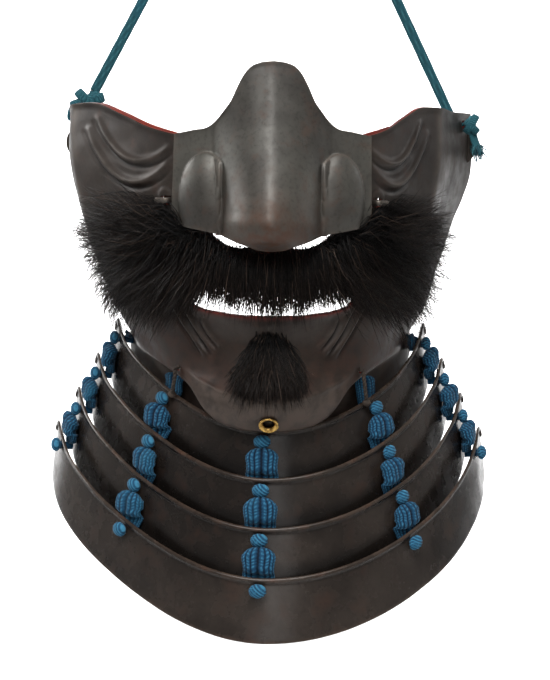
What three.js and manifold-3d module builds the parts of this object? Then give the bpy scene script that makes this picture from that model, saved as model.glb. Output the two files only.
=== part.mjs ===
// A lacquered iron half mask for the lower face, with a lift-off nose, a hair moustache and chin tuft,
// and four curved throat lames laced in blue braid. It hangs by a cord from its two ear holes.
// Millimetres, +Z up, the face looks along -Y. The origin is the point of the hook that the cord lies on.

import * as THREE from "three";
import { mergeVertices } from "three/addons/utils/BufferGeometryUtils.js";
import Module from "manifold-3d";

const wasm = await Module();
wasm.setup();

// Driving sizes

const guardWidth = 177; // across the outside of the back edges
const guardDepth = 104; // from the back edges to the line that the lip's depths are shares of
const guardHeight = 131; // from the ear corners down to the chin's lowest point
const plateThickness = 1.5;
const seatGap = 0.35; // between pieces that lie on each other
const cornerSkew = 0.09; // the hammered cheeks differ: the left corner stands further out than the right

const noseRise = 23; // how far the nose's ridge stands out of the face at its highest
const noseWingRise = 6;
const noseThickness = 1.3;

const lameCount = 4;
const lameHalfWidth = 67.5; // of the first lame's top edge
const lameDepth = 92; // of the first lame's top edge, from the line of the back edges
const lameSideStep = 8.5; // each lame stands this much outside the one above at its sides
const lameFrontStep = 8.2; // and this much in front of it in the middle
const lameDrop = 18.6; // from one top edge to the next
const lameHeight = 25.5;
const lameThickness = 1.3;
const lameTilt = 0.5; // rise of a top edge for each millimetre towards the back
const lameLean = 0.14; // how much the plate stands out for each millimetre down
const lameEndAngle = 84; // degrees round from the middle
const lameFlattening = { left: 0.08, right: 0.03 }; // how much each front quarter is drawn in from an ellipse
const lameCornerRadius = 7;
const lameRimHeight = 2.2;
const lameRimRise = 0.8;
const chinOverLame = 1; // how far the chin hangs down in front of the first lame's top edge
const flangeCover = 11; // how far the neck flange reaches below the first lame's top edge

const laceAngles = [-75, -39, -2, 39, 75]; // degrees round from the middle
const laceHoleDown = 5; // from a lame's top edge to its lace holes
const laceWidth = 13; // a pair of braids at its fullest
const laceBulge = 6.2; // thickness of the pair where it stands free
const laceNeckRadius = 1.6; // where it goes through a hole
const laceKnotSize = { wide: 6.8, tall: 5.4, thick: 3.6 };
const laceSlack = 0.8; // room beside a lace between two plates
const laceJawGap = 3.2; // from the jaw's underside down to the first row of laces
const laceLeast = 1.8; // the least height of a pair of braids

const hangRise = 143; // from the ear holes' level up to the hook
const cordWidth = 4.4;
const cordThickness = 1.7;
const cordBendRadius = 9; // over the hook
const earHoleRadius = 2.3;
const earHoleAround = 0.92; // share of the way round to the back edge
const earHoleDrop = 5; // below the top edge

const mouthHalfWidth = 33;
const mouthHeight = 17;
const mouthDown = 0.64; // the lower lip, as a share of guardHeight
const drainHoleRadius = 2.1;
const drainFlangeRadius = 4;
const drainDown = 0.965;

// Smooth curves through tables

// The value at a place on a smooth curve through (places, values): a cubic between each pair, run straight
// on past the ends.
function smooth(places, values, at) {
  const last = places.length - 1;
  const slope = (i) => (values[i + 1] - values[i]) / (places[i + 1] - places[i]);
  const tangent = (i) => {
    if (i === 0) return slope(0);
    if (i === last) return slope(last - 1);
    const before = places[i] - places[i - 1];
    const after = places[i + 1] - places[i];
    return (after * slope(i - 1) + before * slope(i)) / (before + after);
  };
  if (at <= places[0]) return values[0] + (at - places[0]) * tangent(0);
  if (at >= places[last]) return values[last] + (at - places[last]) * tangent(last);
  let i = 0;
  while (at > places[i + 1]) i += 1;
  const step = places[i + 1] - places[i];
  const t = (at - places[i]) / step;
  const h = t * t * (3 - 2 * t);
  const enter = t * (1 - t) * (1 - t) * step * tangent(i);
  const leave = t * t * (t - 1) * step * tangent(i + 1);
  return values[i] * (1 - h) + values[i + 1] * h + enter + leave;
}

// One named column of a table, read smoothly at a place in another.
function readTable(table, placeColumn, valueColumn, at) {
  const places = table.map((row) => row[placeColumn]);
  const values = table.map((row) => row[valueColumn]);
  return smooth(places, values, at);
}

const radians = (degrees) => (degrees * Math.PI) / 180;
const clamp = (value, low, high) => Math.min(high, Math.max(low, value));
const easeStep = (low, high, value) => {
  const t = clamp((value - low) / (high - low), 0, 1);
  return t * t * (3 - 2 * t);
};
const spread = (count, low, high) =>
  Array.from({ length: count + 1 }, (_, i) => low + ((high - low) * i) / count);

// The face's form: level sections from the brow to the chin.
// Widths are shares of half guardWidth, depths of guardDepth, and down is a share of guardHeight.

const sectionNames = [
  "down",
  "lip",
  "cheekWide",
  "cheekDeep",
  "cornerWide",
  "cornerDeep",
  "backWide",
  "backDeep",
];
const faceSections = [
  [-0.13, 0.93, 0.45, 0.79, 0.85, 0.42, 0.975, 0.0],
  [0.0, 0.94, 0.455, 0.81, 0.852, 0.42, 0.985, 0.0],
  [0.19, 0.95, 0.46, 0.845, 0.845, 0.44, 0.995, 0.0],
  [0.38, 0.97, 0.46, 0.835, 0.785, 0.44, 0.9, 0.02],
  [0.52, 1.0, 0.435, 0.81, 0.725, 0.44, 0.83, 0.05],
  [0.64, 0.97, 0.42, 0.775, 0.675, 0.435, 0.775, 0.08],
  [0.74, 0.925, 0.405, 0.76, 0.625, 0.435, 0.69, 0.115],
  [0.82, 0.97, 0.39, 0.77, 0.58, 0.46, 0.64, 0.14],
  [0.895, 1.03, 0.375, 0.79, 0.56, 0.46, 0.63, 0.15],
  [1.0, 0.955, 0.365, 0.765, 0.55, 0.46, 0.625, 0.15],
].map((row) => Object.fromEntries(row.map((value, i) => [sectionNames[i], value])));

// The cheek plate's top edge and the jaw, round from the middle (0) to the back edge (1).
const topEdge = [
  { around: 0.0, down: 0.1 },
  { around: 0.31, down: 0.092 },
  { around: 0.4, down: 0.068 },
  { around: 0.48, down: 0.03 },
  { around: 0.56, down: -0.004 },
  { around: 0.64, down: -0.008 },
  { around: 0.8, down: 0.0 },
  { around: 1.0, down: 0.0 },
];
const jawEdge = [
  { around: 0.0, down: 1.0 },
  { around: 0.13, down: 0.993 },
  { around: 0.2, down: 0.975 },
  { around: 0.27, down: 0.93 },
  { around: 0.31, down: 0.882 },
  { around: 0.37, down: 0.848 },
  { around: 0.45, down: 0.825 },
  { around: 0.6, down: 0.798 },
  { around: 0.85, down: 0.76 },
  { around: 1.0, down: 0.715 },
];

// A point of the face's outer surface: around runs from -1 at the left back edge to 1 at the right one.
function facePoint(around, z) {
  const down = -z / guardHeight;
  const read = (column) => readTable(faceSections, "down", column, down);
  const side = Math.sign(around) || 1;
  const half = guardWidth / 2;
  const skew = cornerSkew * side * (1 - easeStep(0.55, 0.85, down));
  const places = [-1 / 3, 0, 1 / 3, 2 / 3, 1];
  const cheek = read("cheekWide") * half * (1 - skew / 3);
  const wide = [-cheek, 0, cheek, read("cornerWide") * half * (1 - skew), read("backWide") * half];
  const cheekDeep = read("cheekDeep");
  const deep = [cheekDeep, read("lip"), cheekDeep, read("cornerDeep"), read("backDeep")];
  const x = side * smooth(places, wide, Math.abs(around));
  const y = -guardDepth * smooth(places, deep, Math.abs(around));
  return new THREE.Vector3(x, y, z);
}

// The outward normal of a surface given as a function of two numbers, the first to the right, the second up.
function normalOf(surface, a, b, stepA, stepB) {
  const across = surface(a + stepA, b).sub(surface(a - stepA, b));
  const up = surface(a, b + stepB).sub(surface(a, b - stepB));
  return across.cross(up).normalize();
}

const faceNormal = (around, z) => normalOf(facePoint, around, z, 0.004, 0.3);

// A place on the face, moved out of it by a distance.
function faceLifted(around, z, lift) {
  return facePoint(around, z).addScaledVector(faceNormal(around, z), lift);
}

// How far around the face a distance from the middle plane lies, at a height.
function aroundAt(x, z) {
  let low = -1;
  let high = 1;
  for (let i = 0; i < 30; i += 1) {
    const middle = (low + high) / 2;
    if (facePoint(middle, z).x < x) low = middle;
    else high = middle;
  }
  return (low + high) / 2;
}

const leftCornerDroop = 3; // the left cheek's corner sits lower than the right one
function topEdgeZ(around) {
  const level = -guardHeight * readTable(topEdge, "around", "down", Math.abs(around));
  return level - (around < 0 ? leftCornerDroop * easeStep(0.55, 1, -around) : 0);
}

const jawEdgeZ = (around) => -guardHeight * readTable(jawEdge, "around", "down", Math.abs(around));

// Closed shapes from grids and rings

// One closed body between two grids of points with the same rows and columns, the first one outside.
// Rows run downwards and columns to the right, seen from outside.
function shellGeometry(outer, inner) {
  const rows = outer.length;
  const columns = outer[0].length;
  const positions = [...outer.flat(), ...inner.flat()].flatMap((p) => [p.x, p.y, p.z]);
  const out = (r, c) => r * columns + c;
  const inn = (r, c) => rows * columns + r * columns + c;
  const index = [];
  const quad = (a, b, c, d) => index.push(a, b, c, a, c, d);
  for (let r = 0; r < rows - 1; r += 1) {
    for (let c = 0; c < columns - 1; c += 1) {
      quad(out(r, c), out(r + 1, c), out(r + 1, c + 1), out(r, c + 1));
      quad(inn(r, c), inn(r, c + 1), inn(r + 1, c + 1), inn(r + 1, c));
    }
    quad(out(r, 0), inn(r, 0), inn(r + 1, 0), out(r + 1, 0));
    quad(out(r, columns - 1), out(r + 1, columns - 1), inn(r + 1, columns - 1), inn(r, columns - 1));
  }
  for (let c = 0; c < columns - 1; c += 1) {
    quad(out(0, c), out(0, c + 1), inn(0, c + 1), inn(0, c));
    quad(out(rows - 1, c), inn(rows - 1, c), inn(rows - 1, c + 1), out(rows - 1, c + 1));
  }
  return indexed(positions, index);
}

// One closed body through rings of points, each with the same count, with a fan over each end.
function loftGeometry(rings) {
  const count = rings[0].length;
  const ends = [rings[0], rings[rings.length - 1]].map((ring) => {
    const sum = ring.reduce((total, p) => total.add(p), new THREE.Vector3());
    return sum.divideScalar(count);
  });
  const positions = [...rings.flat(), ...ends].flatMap((p) => [p.x, p.y, p.z]);
  const at = (r, i) => r * count + (i % count);
  const firstEnd = rings.length * count;
  const index = [];
  for (let i = 0; i < count; i += 1) {
    for (let r = 0; r < rings.length - 1; r += 1) {
      index.push(at(r, i), at(r, i + 1), at(r + 1, i + 1), at(r, i), at(r + 1, i + 1), at(r + 1, i));
    }
    index.push(firstEnd, at(0, i + 1), at(0, i));
    index.push(firstEnd + 1, at(rings.length - 1, i), at(rings.length - 1, i + 1));
  }
  return indexed(positions, index);
}

function indexed(positions, index) {
  const geometry = new THREE.BufferGeometry();
  geometry.setAttribute("position", new THREE.Float32BufferAttribute(positions, 3));
  geometry.setIndex(index);
  return geometry;
}

// A geometry as a solid, its faces turned outwards if they point inwards.
function solidOf(geometry) {
  const bare = geometry.clone();
  bare.deleteAttribute("normal");
  bare.deleteAttribute("uv");
  const merged = mergeVertices(bare, 1e-4);
  const triVerts = new Uint32Array(merged.index.array);
  const vertProperties = new Float32Array(merged.attributes.position.array);
  const made = new wasm.Manifold(new wasm.Mesh({ numProp: 3, vertProperties, triVerts }));
  if (made.volume() > 0) return made;
  for (let i = 0; i < triVerts.length; i += 3) triVerts.subarray(i, i + 2).reverse();
  return new wasm.Manifold(new wasm.Mesh({ numProp: 3, vertProperties, triVerts }));
}

function geometryOf(solid) {
  const mesh = solid.getMesh();
  const geometry = new THREE.BufferGeometry();
  const positions = new Float32Array(mesh.numVert * 3);
  for (let i = 0; i < mesh.numVert; i += 1) {
    positions.set(mesh.vertProperties.subarray(i * mesh.numProp, i * mesh.numProp + 3), i * 3);
  }
  geometry.setAttribute("position", new THREE.BufferAttribute(positions, 3));
  geometry.setIndex(new THREE.BufferAttribute(new Uint32Array(mesh.triVerts), 1));
  geometry.computeVertexNormals();
  return geometry;
}

// Rings round a path: each station holds a point, the directions of its width and thickness, and the two sizes.
function ringsAlong(stations, sides) {
  return stations.map(({ at, wideWay, thickWay, wide, thick }) =>
    spread(sides, 0, 2 * Math.PI)
      .slice(0, sides)
      .map((angle) =>
        at
          .clone()
          .addScaledVector(wideWay, (Math.cos(angle) * wide) / 2)
          .addScaledVector(thickWay, (Math.sin(angle) * thick) / 2),
      ),
  );
}

// A straight round bar between two points.
function barSolid(from, to, radius, sides) {
  const along = to.clone().sub(from);
  const bar = new THREE.CylinderGeometry(radius, radius, along.length(), sides);
  const turn = new THREE.Quaternion().setFromUnitVectors(new THREE.Vector3(0, 1, 0), along.normalize());
  bar.applyQuaternion(turn);
  const middle = from.clone().add(to).divideScalar(2);
  bar.translate(middle.x, middle.y, middle.z);
  return solidOf(bar);
}

// A round bar through several points, mitred at its corners.
function pathSolid(points, radius, sides) {
  const ways = points.slice(1).map((p, i) => p.clone().sub(points[i]).normalize());
  const turn = new THREE.Quaternion();
  const across = new THREE.Vector3(ways[0].y, -ways[0].x, 0.3).cross(ways[0]).normalize();
  const rings = points.map((point, i) => {
    const before = ways[Math.max(0, i - 1)];
    const after = ways[Math.min(ways.length - 1, i)];
    const mitre = before.clone().add(after).normalize();
    const second = before.clone().cross(across);
    const ring = spread(sides, 0, 2 * Math.PI)
      .slice(0, sides)
      .map((angle) => {
        const spoke = across.clone().multiplyScalar(radius * Math.cos(angle));
        spoke.addScaledVector(second, radius * Math.sin(angle));
        return spoke.addScaledVector(before, -spoke.dot(mitre) / before.dot(mitre)).add(point);
      });
    across.applyQuaternion(turn.setFromUnitVectors(before, after));
    return ring;
  });
  return solidOf(loftGeometry(rings));
}

// A stretched ball with its own three directions.
function ballSolid(centre, ways, halfSizes, sides, bands) {
  const ball = new THREE.SphereGeometry(1, sides, bands);
  const basis = new THREE.Matrix4().makeBasis(
    ways[0].clone().multiplyScalar(halfSizes[0]),
    ways[1].clone().multiplyScalar(halfSizes[1]),
    ways[2].clone().multiplyScalar(halfSizes[2]),
  );
  ball.applyMatrix4(basis.setPosition(centre));
  return solidOf(ball);
}

// A prism cut straight through the front of the face: an outline in x and z, from one depth to another.
function throughCut(outline, frontY, backY) {
  const shape = new THREE.Shape(outline);
  const prism = new THREE.ExtrudeGeometry(shape, { depth: backY - frontY, bevelEnabled: false });
  prism.rotateX(Math.PI / 2);
  prism.translate(0, backY, 0);
  return solidOf(prism);
}

// Materials

const materials = {
  iron: new THREE.MeshStandardMaterial({ color: 0x3a332f, roughness: 0.48, metalness: 0.7 }),
  lacquer: new THREE.MeshStandardMaterial({ color: 0x2b2624, roughness: 0.33, metalness: 0.3 }),
  brass: new THREE.MeshStandardMaterial({ color: 0xc0893f, roughness: 0.3, metalness: 1.0 }),
  steel: new THREE.MeshStandardMaterial({ color: 0x6d6863, roughness: 0.4, metalness: 0.9 }),
  hair: new THREE.MeshStandardMaterial({ color: 0x17110f, roughness: 0.6, metalness: 0.0 }),
  braid: new THREE.MeshStandardMaterial({ color: 0x1f5f8b, roughness: 0.85, metalness: 0.0 }),
  thong: new THREE.MeshStandardMaterial({ color: 0x4a3d34, roughness: 0.8, metalness: 0.0 }),
  cord: new THREE.MeshStandardMaterial({ color: 0x2d6470, roughness: 0.85, metalness: 0.0 }),
};

const guard = new THREE.Group();

function addPiece(name, solid, material) {
  const mesh = new THREE.Mesh(geometryOf(solid), material);
  mesh.name = name;
  guard.add(mesh);
}

// Throat lames: number 0 is the face plate's own neck flange, which the first lame hangs on.

// A point of a lame's outer surface, round by an angle and down from its top edge.
function lamePoint(number, angle, down) {
  const turn = radians(angle);
  const half = lameHalfWidth + (number - 1) * lameSideStep;
  const deep = lameDepth + (number - 1) * lameFrontStep;
  const frontZ = -guardHeight + chinOverLame - (number - 1) * lameDrop;
  const drawnIn = (angle < 0 ? lameFlattening.left : lameFlattening.right) * Math.sin(2 * turn) ** 2;
  const forward = Math.cos(turn) - drawnIn;
  const x = (half + lameLean * down) * Math.sin(turn);
  const y = -(deep + lameLean * down) * forward;
  const z = frontZ + lameTilt * deep * (1 - forward) - down;
  return new THREE.Vector3(x, y, z);
}

const lameNormal = (number, angle, down) =>
  normalOf((a, up) => lamePoint(number, a, -up), angle, -down, 0.5, 0.5);

// The same surface moved inwards by a depth, square to the plate.
const lameInside = (number, angle, down, depth) =>
  lamePoint(number, angle, down).addScaledVector(lameNormal(number, angle, down), -depth);

// Where the neck flange's surface lies beside a lace hole of the first lame.
const flangeDown = (angle) => lamePoint(0, angle, 0).z - lamePoint(1, angle, laceHoleDown).z;

// The hole that a lace goes through, as a bar square to a lame.
function laceHole(number, angle) {
  const at = lamePoint(number, angle, laceHoleDown);
  const normal = lameNormal(number, angle, laceHoleDown);
  const reach = 2 * lameThickness + lameRimRise;
  const from = at.clone().addScaledVector(normal, reach);
  const to = at.clone().addScaledVector(normal, -reach);
  return barSolid(from, to, laceNeckRadius + 2 * seatGap, 6);
}

// How much of a lame's height is left towards its round-cornered ends, as top and bottom limits.
function lameReach(angle) {
  const half = lameHalfWidth;
  const toEnd = radians(lameEndAngle - Math.abs(angle)) * half;
  if (toEnd >= lameCornerRadius) return 0;
  const across = lameCornerRadius - toEnd;
  return lameCornerRadius - Math.sqrt(Math.max(0, lameCornerRadius ** 2 - across ** 2));
}

function lameSolid(number) {
  const middle = spread(18, -0.93 * lameEndAngle, 0.93 * lameEndAngle);
  const ends = [0.98, 1.0].map((share) => share * lameEndAngle);
  const angles = [...ends.map((a) => -a).reverse(), ...middle, ...ends];
  // A row of the profile: how far down, as a share of the height below the rim or of the rim, and how far out.
  const profile = [
    { rim: 0, body: 0, out: 0 },
    { rim: 0.5, body: 0, out: 1 },
    { rim: 1, body: 0, out: 0 },
    { rim: 1, body: 1, out: 0 },
  ];
  const outer = profile.map(({ rim, body, out }) =>
    angles.map((angle) => {
      const cut = lameReach(angle);
      const high = cut + rim * lameRimHeight;
      const low = lameHeight - cut;
      const down = body ? low : Math.min(high, low);
      const normal = lameNormal(number, angle, down);
      return lamePoint(number, angle, down).addScaledVector(normal, out * lameRimRise);
    }),
  );
  const inner = profile.map(({ rim, body }) =>
    angles.map((angle) => {
      const cut = lameReach(angle);
      const down = body ? lameHeight - cut : Math.min(cut + rim * lameRimHeight, lameHeight - cut);
      return lameInside(number, angle, down, lameThickness);
    }),
  );
  const plate = solidOf(shellGeometry(outer, inner));
  return laceAngles.reduce((left, angle) => left.subtract(laceHole(number, angle)), plate);
}

for (let number = 1; number <= lameCount; number += 1) {
  addPiece(`lame_${number}`, lameSolid(number), materials.lacquer);
}

// Face plate

const faceColumns = spread(24, -1, 1);
const faceRows = [0, 0.16, 0.32, 0.46, 0.56, 0.64, 0.71, 0.78, 0.835, 0.885, 0.94, 1];
const chinUnderRise = 4.5; // the chin's underside rises this much on its way back to the neck flange
const jawUnderDrop = 1.2; // beside the chin the jaw's underside falls instead

// Where the neck flange starts below the jaw in a column.
function flangeTopZ(around) {
  const underChin = 1 - easeStep(0.14, 0.36, Math.abs(around));
  return jawEdgeZ(around) + chinUnderRise * underChin - jawUnderDrop * (1 - underChin);
}

// A point of the neck flange below the jaw's point in a column.
function flangePoint(around, share) {
  const jaw = facePoint(around, jawEdgeZ(around));
  const deep = lameDepth - lameFrontStep;
  const half = lameHalfWidth - lameSideStep;
  const angle = (Math.atan2(jaw.x / half, -jaw.y / deep) * 180) / Math.PI;
  const topZ = flangeTopZ(around);
  const lowZ = Math.min(lamePoint(1, angle, flangeCover).z, topZ - 4 * plateThickness);
  const z = topZ + (lowZ - topZ) * share;
  return lamePoint(0, angle, lamePoint(0, angle, 0).z - z);
}

function faceShell() {
  const along = (around, share) => {
    const top = topEdgeZ(around);
    return top + (jawEdgeZ(around) - top) * share;
  };
  const outer = faceRows.map((share) => faceColumns.map((a) => facePoint(a, along(a, share))));
  const within = (a, share) => faceLifted(a, along(a, share), -plateThickness);
  const inner = faceRows.map((share) => faceColumns.map((a) => within(a, share)));
  // The jaw's inner corner and the flange, which stands plumb, so its wall is measured level.
  for (const share of [0, 1]) {
    outer.push(faceColumns.map((a) => flangePoint(a, share)));
    inner.push(
      faceColumns.map((a) => {
        const point = flangePoint(a, share);
        const inward = new THREE.Vector3(point.x, point.y, 0).normalize();
        const lift = share === 0 ? plateThickness * 0.6 : 0;
        return point.addScaledVector(inward, -plateThickness).add(new THREE.Vector3(0, 0, lift));
      }),
    );
  }
  return solidOf(shellGeometry(outer, inner));
}

// The mouth: a crescent with a flat upper edge, cut straight through.
function mouthOutline() {
  const lowZ = -mouthDown * guardHeight;
  const points = spread(12, Math.PI, 2 * Math.PI).map((angle) => {
    const round = Math.abs(Math.sin(angle)) ** 0.62;
    return new THREE.Vector2(mouthHalfWidth * Math.cos(angle), lowZ + 7.5 - 7.5 * round);
  });
  const top = spread(4, 1, -1).map((share) => {
    const rise = mouthHeight - 7.5 * Math.abs(share) ** 2;
    return new THREE.Vector2(mouthHalfWidth * 0.9 * share, lowZ + rise);
  });
  return [...points, ...top];
}

// The notch behind the nose: open at the top, and its lower edge leaves a nostril slit each side of the tip.
const noseNotch = [
  { out: 0.0, down: 0.4 },
  { out: 0.24, down: 0.425 },
  { out: 0.34, down: 0.432 },
  { out: 0.55, down: 0.428 },
  { out: 0.72, down: 0.41 },
  { out: 0.86, down: 0.382 },
  { out: 1.0, down: 0.32 },
];
const noseNotchHalf = 29;

function notchOutline() {
  const right = spread(7, 0, 1).map((out) => {
    const z = -guardHeight * readTable(noseNotch, "out", "down", out);
    return new THREE.Vector2(out * noseNotchHalf, z);
  });
  const top = guardHeight * 0.1;
  const left = right.slice(1).map((p) => new THREE.Vector2(-p.x, p.y));
  const corners = [new THREE.Vector2(noseNotchHalf, top), new THREE.Vector2(-noseNotchHalf, top)];
  return [...right, ...corners, ...left.reverse()];
}

// Raised wrinkles: each is a crescent along the face, its path in shares round and down.
const cheekWrinkles = [
  { name: "upper", start: [0.33, 0.132], middle: [0.455, 0.168], end: [0.565, 0.04], wide: 4.2, high: 1.5 },
  { name: "lower", start: [0.335, 0.185], middle: [0.475, 0.232], end: [0.6, 0.075], wide: 4.6, high: 1.5 },
];
const mouthWrinkles = [
  { name: "inner", start: [0.235, 0.645], middle: [0.215, 0.69], end: [0.175, 0.735], wide: 3.2, high: 0.9 },
  { name: "middle", start: [0.3, 0.615], middle: [0.255, 0.685], end: [0.2, 0.755], wide: 3.2, high: 1.0 },
  { name: "outer", start: [0.36, 0.6], middle: [0.3, 0.68], end: [0.235, 0.765], wide: 3.4, high: 1.0 },
];

function wrinkleSolid({ start, middle, end, wide, high }, side) {
  const curve = new THREE.QuadraticBezierCurve(
    new THREE.Vector2(...start),
    new THREE.Vector2(2 * middle[0] - (start[0] + end[0]) / 2, 2 * middle[1] - (start[1] + end[1]) / 2),
    new THREE.Vector2(...end),
  );
  const place = (t) => {
    const p = curve.getPoint(t);
    return faceLifted(side * p.x, -p.y * guardHeight, 0);
  };
  const stations = spread(4, 0, 1).map((t) => {
    const p = curve.getPoint(t);
    const thickWay = faceNormal(side * p.x, -p.y * guardHeight);
    const along = place(Math.min(1, t + 0.05)).sub(place(Math.max(0, t - 0.05))).normalize();
    const wideWay = along.clone().cross(thickWay).normalize();
    const taper = Math.sin(Math.PI * (0.06 + 0.88 * t)) ** 0.6;
    return { at: place(t), wideWay, thickWay, wide: wide * taper, thick: 2 * high * taper };
  });
  return solidOf(loftGeometry(ringsAlong(stations, 4)));
}

// Small things that are part of the plate: a round lobe on each back edge, and a boss under each nose pin.

const lobeRadius = 8;
const lobeDrop = 15;

function lobeSolid(side) {
  const back = faceLifted(side * 0.96, -lobeDrop, -plateThickness / 2);
  const centre = new THREE.Vector3(back.x - side * 4, back.y, back.z);
  const half = new THREE.Vector3(0, plateThickness / 2, 0);
  const disc = barSolid(centre.clone().sub(half), centre.clone().add(half), lobeRadius, 14);
  // The half of the disc inside the cheek's wall is cut away.
  const wall = new THREE.BoxGeometry(2 * lobeRadius, 4 * plateThickness, 2.2 * lobeRadius);
  wall.translate(back.x - side * (lobeRadius + plateThickness / 4), back.y, back.z);
  return disc.subtract(solidOf(wall));
}

const pinAcross = 42.8;
const pinDown = 0.293;
const pinRadius = 1.25;
const pinSlot = { wide: 6.2, tall: 3.6 };
const bossRadius = 3.3;
const bossRise = 0.7;

// The pin's place on the cheek, with its directions: out of the plate, sideways and up.
function pinFrame(side) {
  const z = -pinDown * guardHeight;
  const around = aroundAt(side * pinAcross, z);
  const out = faceNormal(around, z);
  const sideways = new THREE.Vector3(-out.y, out.x, 0).normalize().multiplyScalar(side);
  const up = out.clone().cross(sideways).multiplyScalar(side);
  return { at: facePoint(around, z), out, sideways, up };
}

function bossSolid(side) {
  const { at, out, up } = pinFrame(side);
  const centre = at.clone().addScaledVector(up, 1.8);
  const back = centre.clone().addScaledVector(out, -plateThickness / 2);
  return barSolid(back, centre.addScaledVector(out, bossRise), bossRadius, 12);
}

function slotSolid(side) {
  const { at, out, sideways, up } = pinFrame(side);
  const slot = new THREE.BoxGeometry(pinSlot.wide, pinSlot.tall, 6 * plateThickness);
  slot.applyMatrix4(new THREE.Matrix4().makeBasis(sideways, up, sideways.clone().cross(up)));
  const centre = at.clone().addScaledVector(sideways, -pinSlot.wide / 4).addScaledVector(out, 0);
  slot.translate(centre.x, centre.y, centre.z);
  return solidOf(slot);
}

// The drain hole's place under the chin's ridge, and the way it faces.
function drainFrame() {
  const z = -drainDown * guardHeight;
  return { at: facePoint(0, z), out: faceNormal(0, z) };
}

const drainTubeRadius = drainHoleRadius + 0.6;

function drainCut() {
  const { at, out } = drainFrame();
  const from = at.clone().addScaledVector(out, 2 * plateThickness);
  const to = at.clone().addScaledVector(out, -3 * plateThickness);
  return barSolid(from, to, drainTubeRadius + seatGap, 16);
}

function earHole(side) {
  const z = topEdgeZ(earHoleAround) - earHoleDrop;
  const at = facePoint(side * earHoleAround, z);
  const out = faceNormal(side * earHoleAround, z);
  return { at, out };
}

function earHoleCut(side) {
  const { at, out } = earHole(side);
  const from = at.clone().addScaledVector(out, 2 * plateThickness);
  const to = at.clone().addScaledVector(out, -3 * plateThickness);
  return barSolid(from, to, earHoleRadius, 8);
}

// The thong's upper hole, above the jaw's edge.
const thongAround = 0.37;
const thongRadius = 0.9;
const thongDrop = 4;

function thongHole(side) {
  const z = jawEdgeZ(thongAround) + thongDrop;
  return { at: facePoint(side * thongAround, z), out: faceNormal(side * thongAround, z) };
}

function thongCut(side) {
  const { at, out } = thongHole(side);
  const from = at.clone().addScaledVector(out, 2 * plateThickness);
  const to = at.clone().addScaledVector(out, -3 * plateThickness);
  return barSolid(from, to, thongRadius + seatGap, 8);
}

// The lace's way through the neck flange, in line with its hole in the first lame.
function flangeHole(angle) {
  const at = lamePoint(1, angle, laceHoleDown);
  const normal = lameNormal(1, angle, laceHoleDown);
  const from = at.clone().addScaledVector(normal, -lameThickness - seatGap);
  const to = at.clone().addScaledVector(normal, -lameSideStep - lameFrontStep);
  return barSolid(from, to, laceNeckRadius + 2 * seatGap, 6);
}

function facePlate() {
  const front = -2 * guardDepth;
  const back = -guardDepth / 2;
  const sides = [-1, 1];
  const raised = sides.flatMap((side) => [
    ...[...cheekWrinkles, ...mouthWrinkles].map((wrinkle) => wrinkleSolid(wrinkle, side)),
    lobeSolid(side),
    bossSolid(side),
  ]);
  const cuts = [
    throughCut(mouthOutline(), front, back),
    throughCut(notchOutline(), front, back),
    drainCut(),
    ...sides.flatMap((side) => [earHoleCut(side), slotSolid(side), thongCut(side)]),
    ...laceAngles.map(flangeHole),
  ];
  const whole = raised.reduce((sum, piece) => sum.add(piece), faceShell());
  return cuts.reduce((left, cut) => left.subtract(cut), whole);
}

addPiece("face_plate", facePlate(), materials.iron);

// Nose piece: the face's form, with a ridge and two wings raised out of it.

const noseHalfWidth = 38.6;
// Its outline, from the middle (0) to the side edge (1).
const noseOutline = [
  { out: 0.0, top: -0.127, low: 0.436 },
  { out: 0.145, top: -0.122, low: 0.434 },
  { out: 0.23, top: -0.11, low: 0.424 },
  { out: 0.3, top: -0.085, low: 0.417 },
  { out: 0.368, top: -0.045, low: 0.41 },
  { out: 0.414, top: -0.013, low: 0.404 },
  { out: 0.487, top: 0.019, low: 0.395 },
  { out: 0.575, top: 0.052, low: 0.386 },
  { out: 0.66, top: 0.071, low: 0.38 },
  { out: 0.8, top: 0.08, low: 0.372 },
  { out: 1.0, top: 0.093, low: 0.36 },
];
// Its form down the middle: the ridge's rise as a share of noseRise, and the width and fullness of the arch.
const noseProfile = [
  { down: -0.13, rise: 0.1, half: 22, full: 1.5 },
  { down: 0.0, rise: 0.3, half: 23.5, full: 1.35 },
  { down: 0.12, rise: 0.52, half: 23.5, full: 1.1 },
  { down: 0.23, rise: 0.76, half: 21.5, full: 0.85 },
  { down: 0.32, rise: 0.95, half: 20.5, full: 0.72 },
  { down: 0.365, rise: 0.98, half: 20.5, full: 0.7 },
  { down: 0.405, rise: 0.82, half: 20, full: 0.72 },
  { down: 0.44, rise: 0.45, half: 19, full: 0.8 },
];
const noseWing = { across: 26.5, down: 0.285, halfWide: 10.5, halfTall: 18.5, inner: 19.6, full: 0.7 };

// How far the nose stands out of the face at a place seen from the front.
function noseStandOut(x, z) {
  const down = -z / guardHeight;
  const half = readTable(noseProfile, "down", "half", down);
  const rise = noseRise * readTable(noseProfile, "down", "rise", down);
  const full = readTable(noseProfile, "down", "full", down);
  const arch = rise * Math.max(0, 1 - (x / half) ** 2) ** full;
  const wingX = (Math.abs(x) - noseWing.across) / noseWing.halfWide;
  const wingZ = (z + noseWing.down * guardHeight) / noseWing.halfTall;
  const lobe = noseWingRise * Math.max(0, 1 - wingX ** 2 - wingZ ** 2) ** noseWing.full;
  return arch + lobe * easeStep(noseWing.inner, noseWing.inner + 2.6, Math.abs(x));
}

function noseSurface(around, z) {
  const point = faceLifted(around, z, seatGap + noseThickness);
  point.y -= noseStandOut(point.x, z);
  return point;
}

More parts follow.
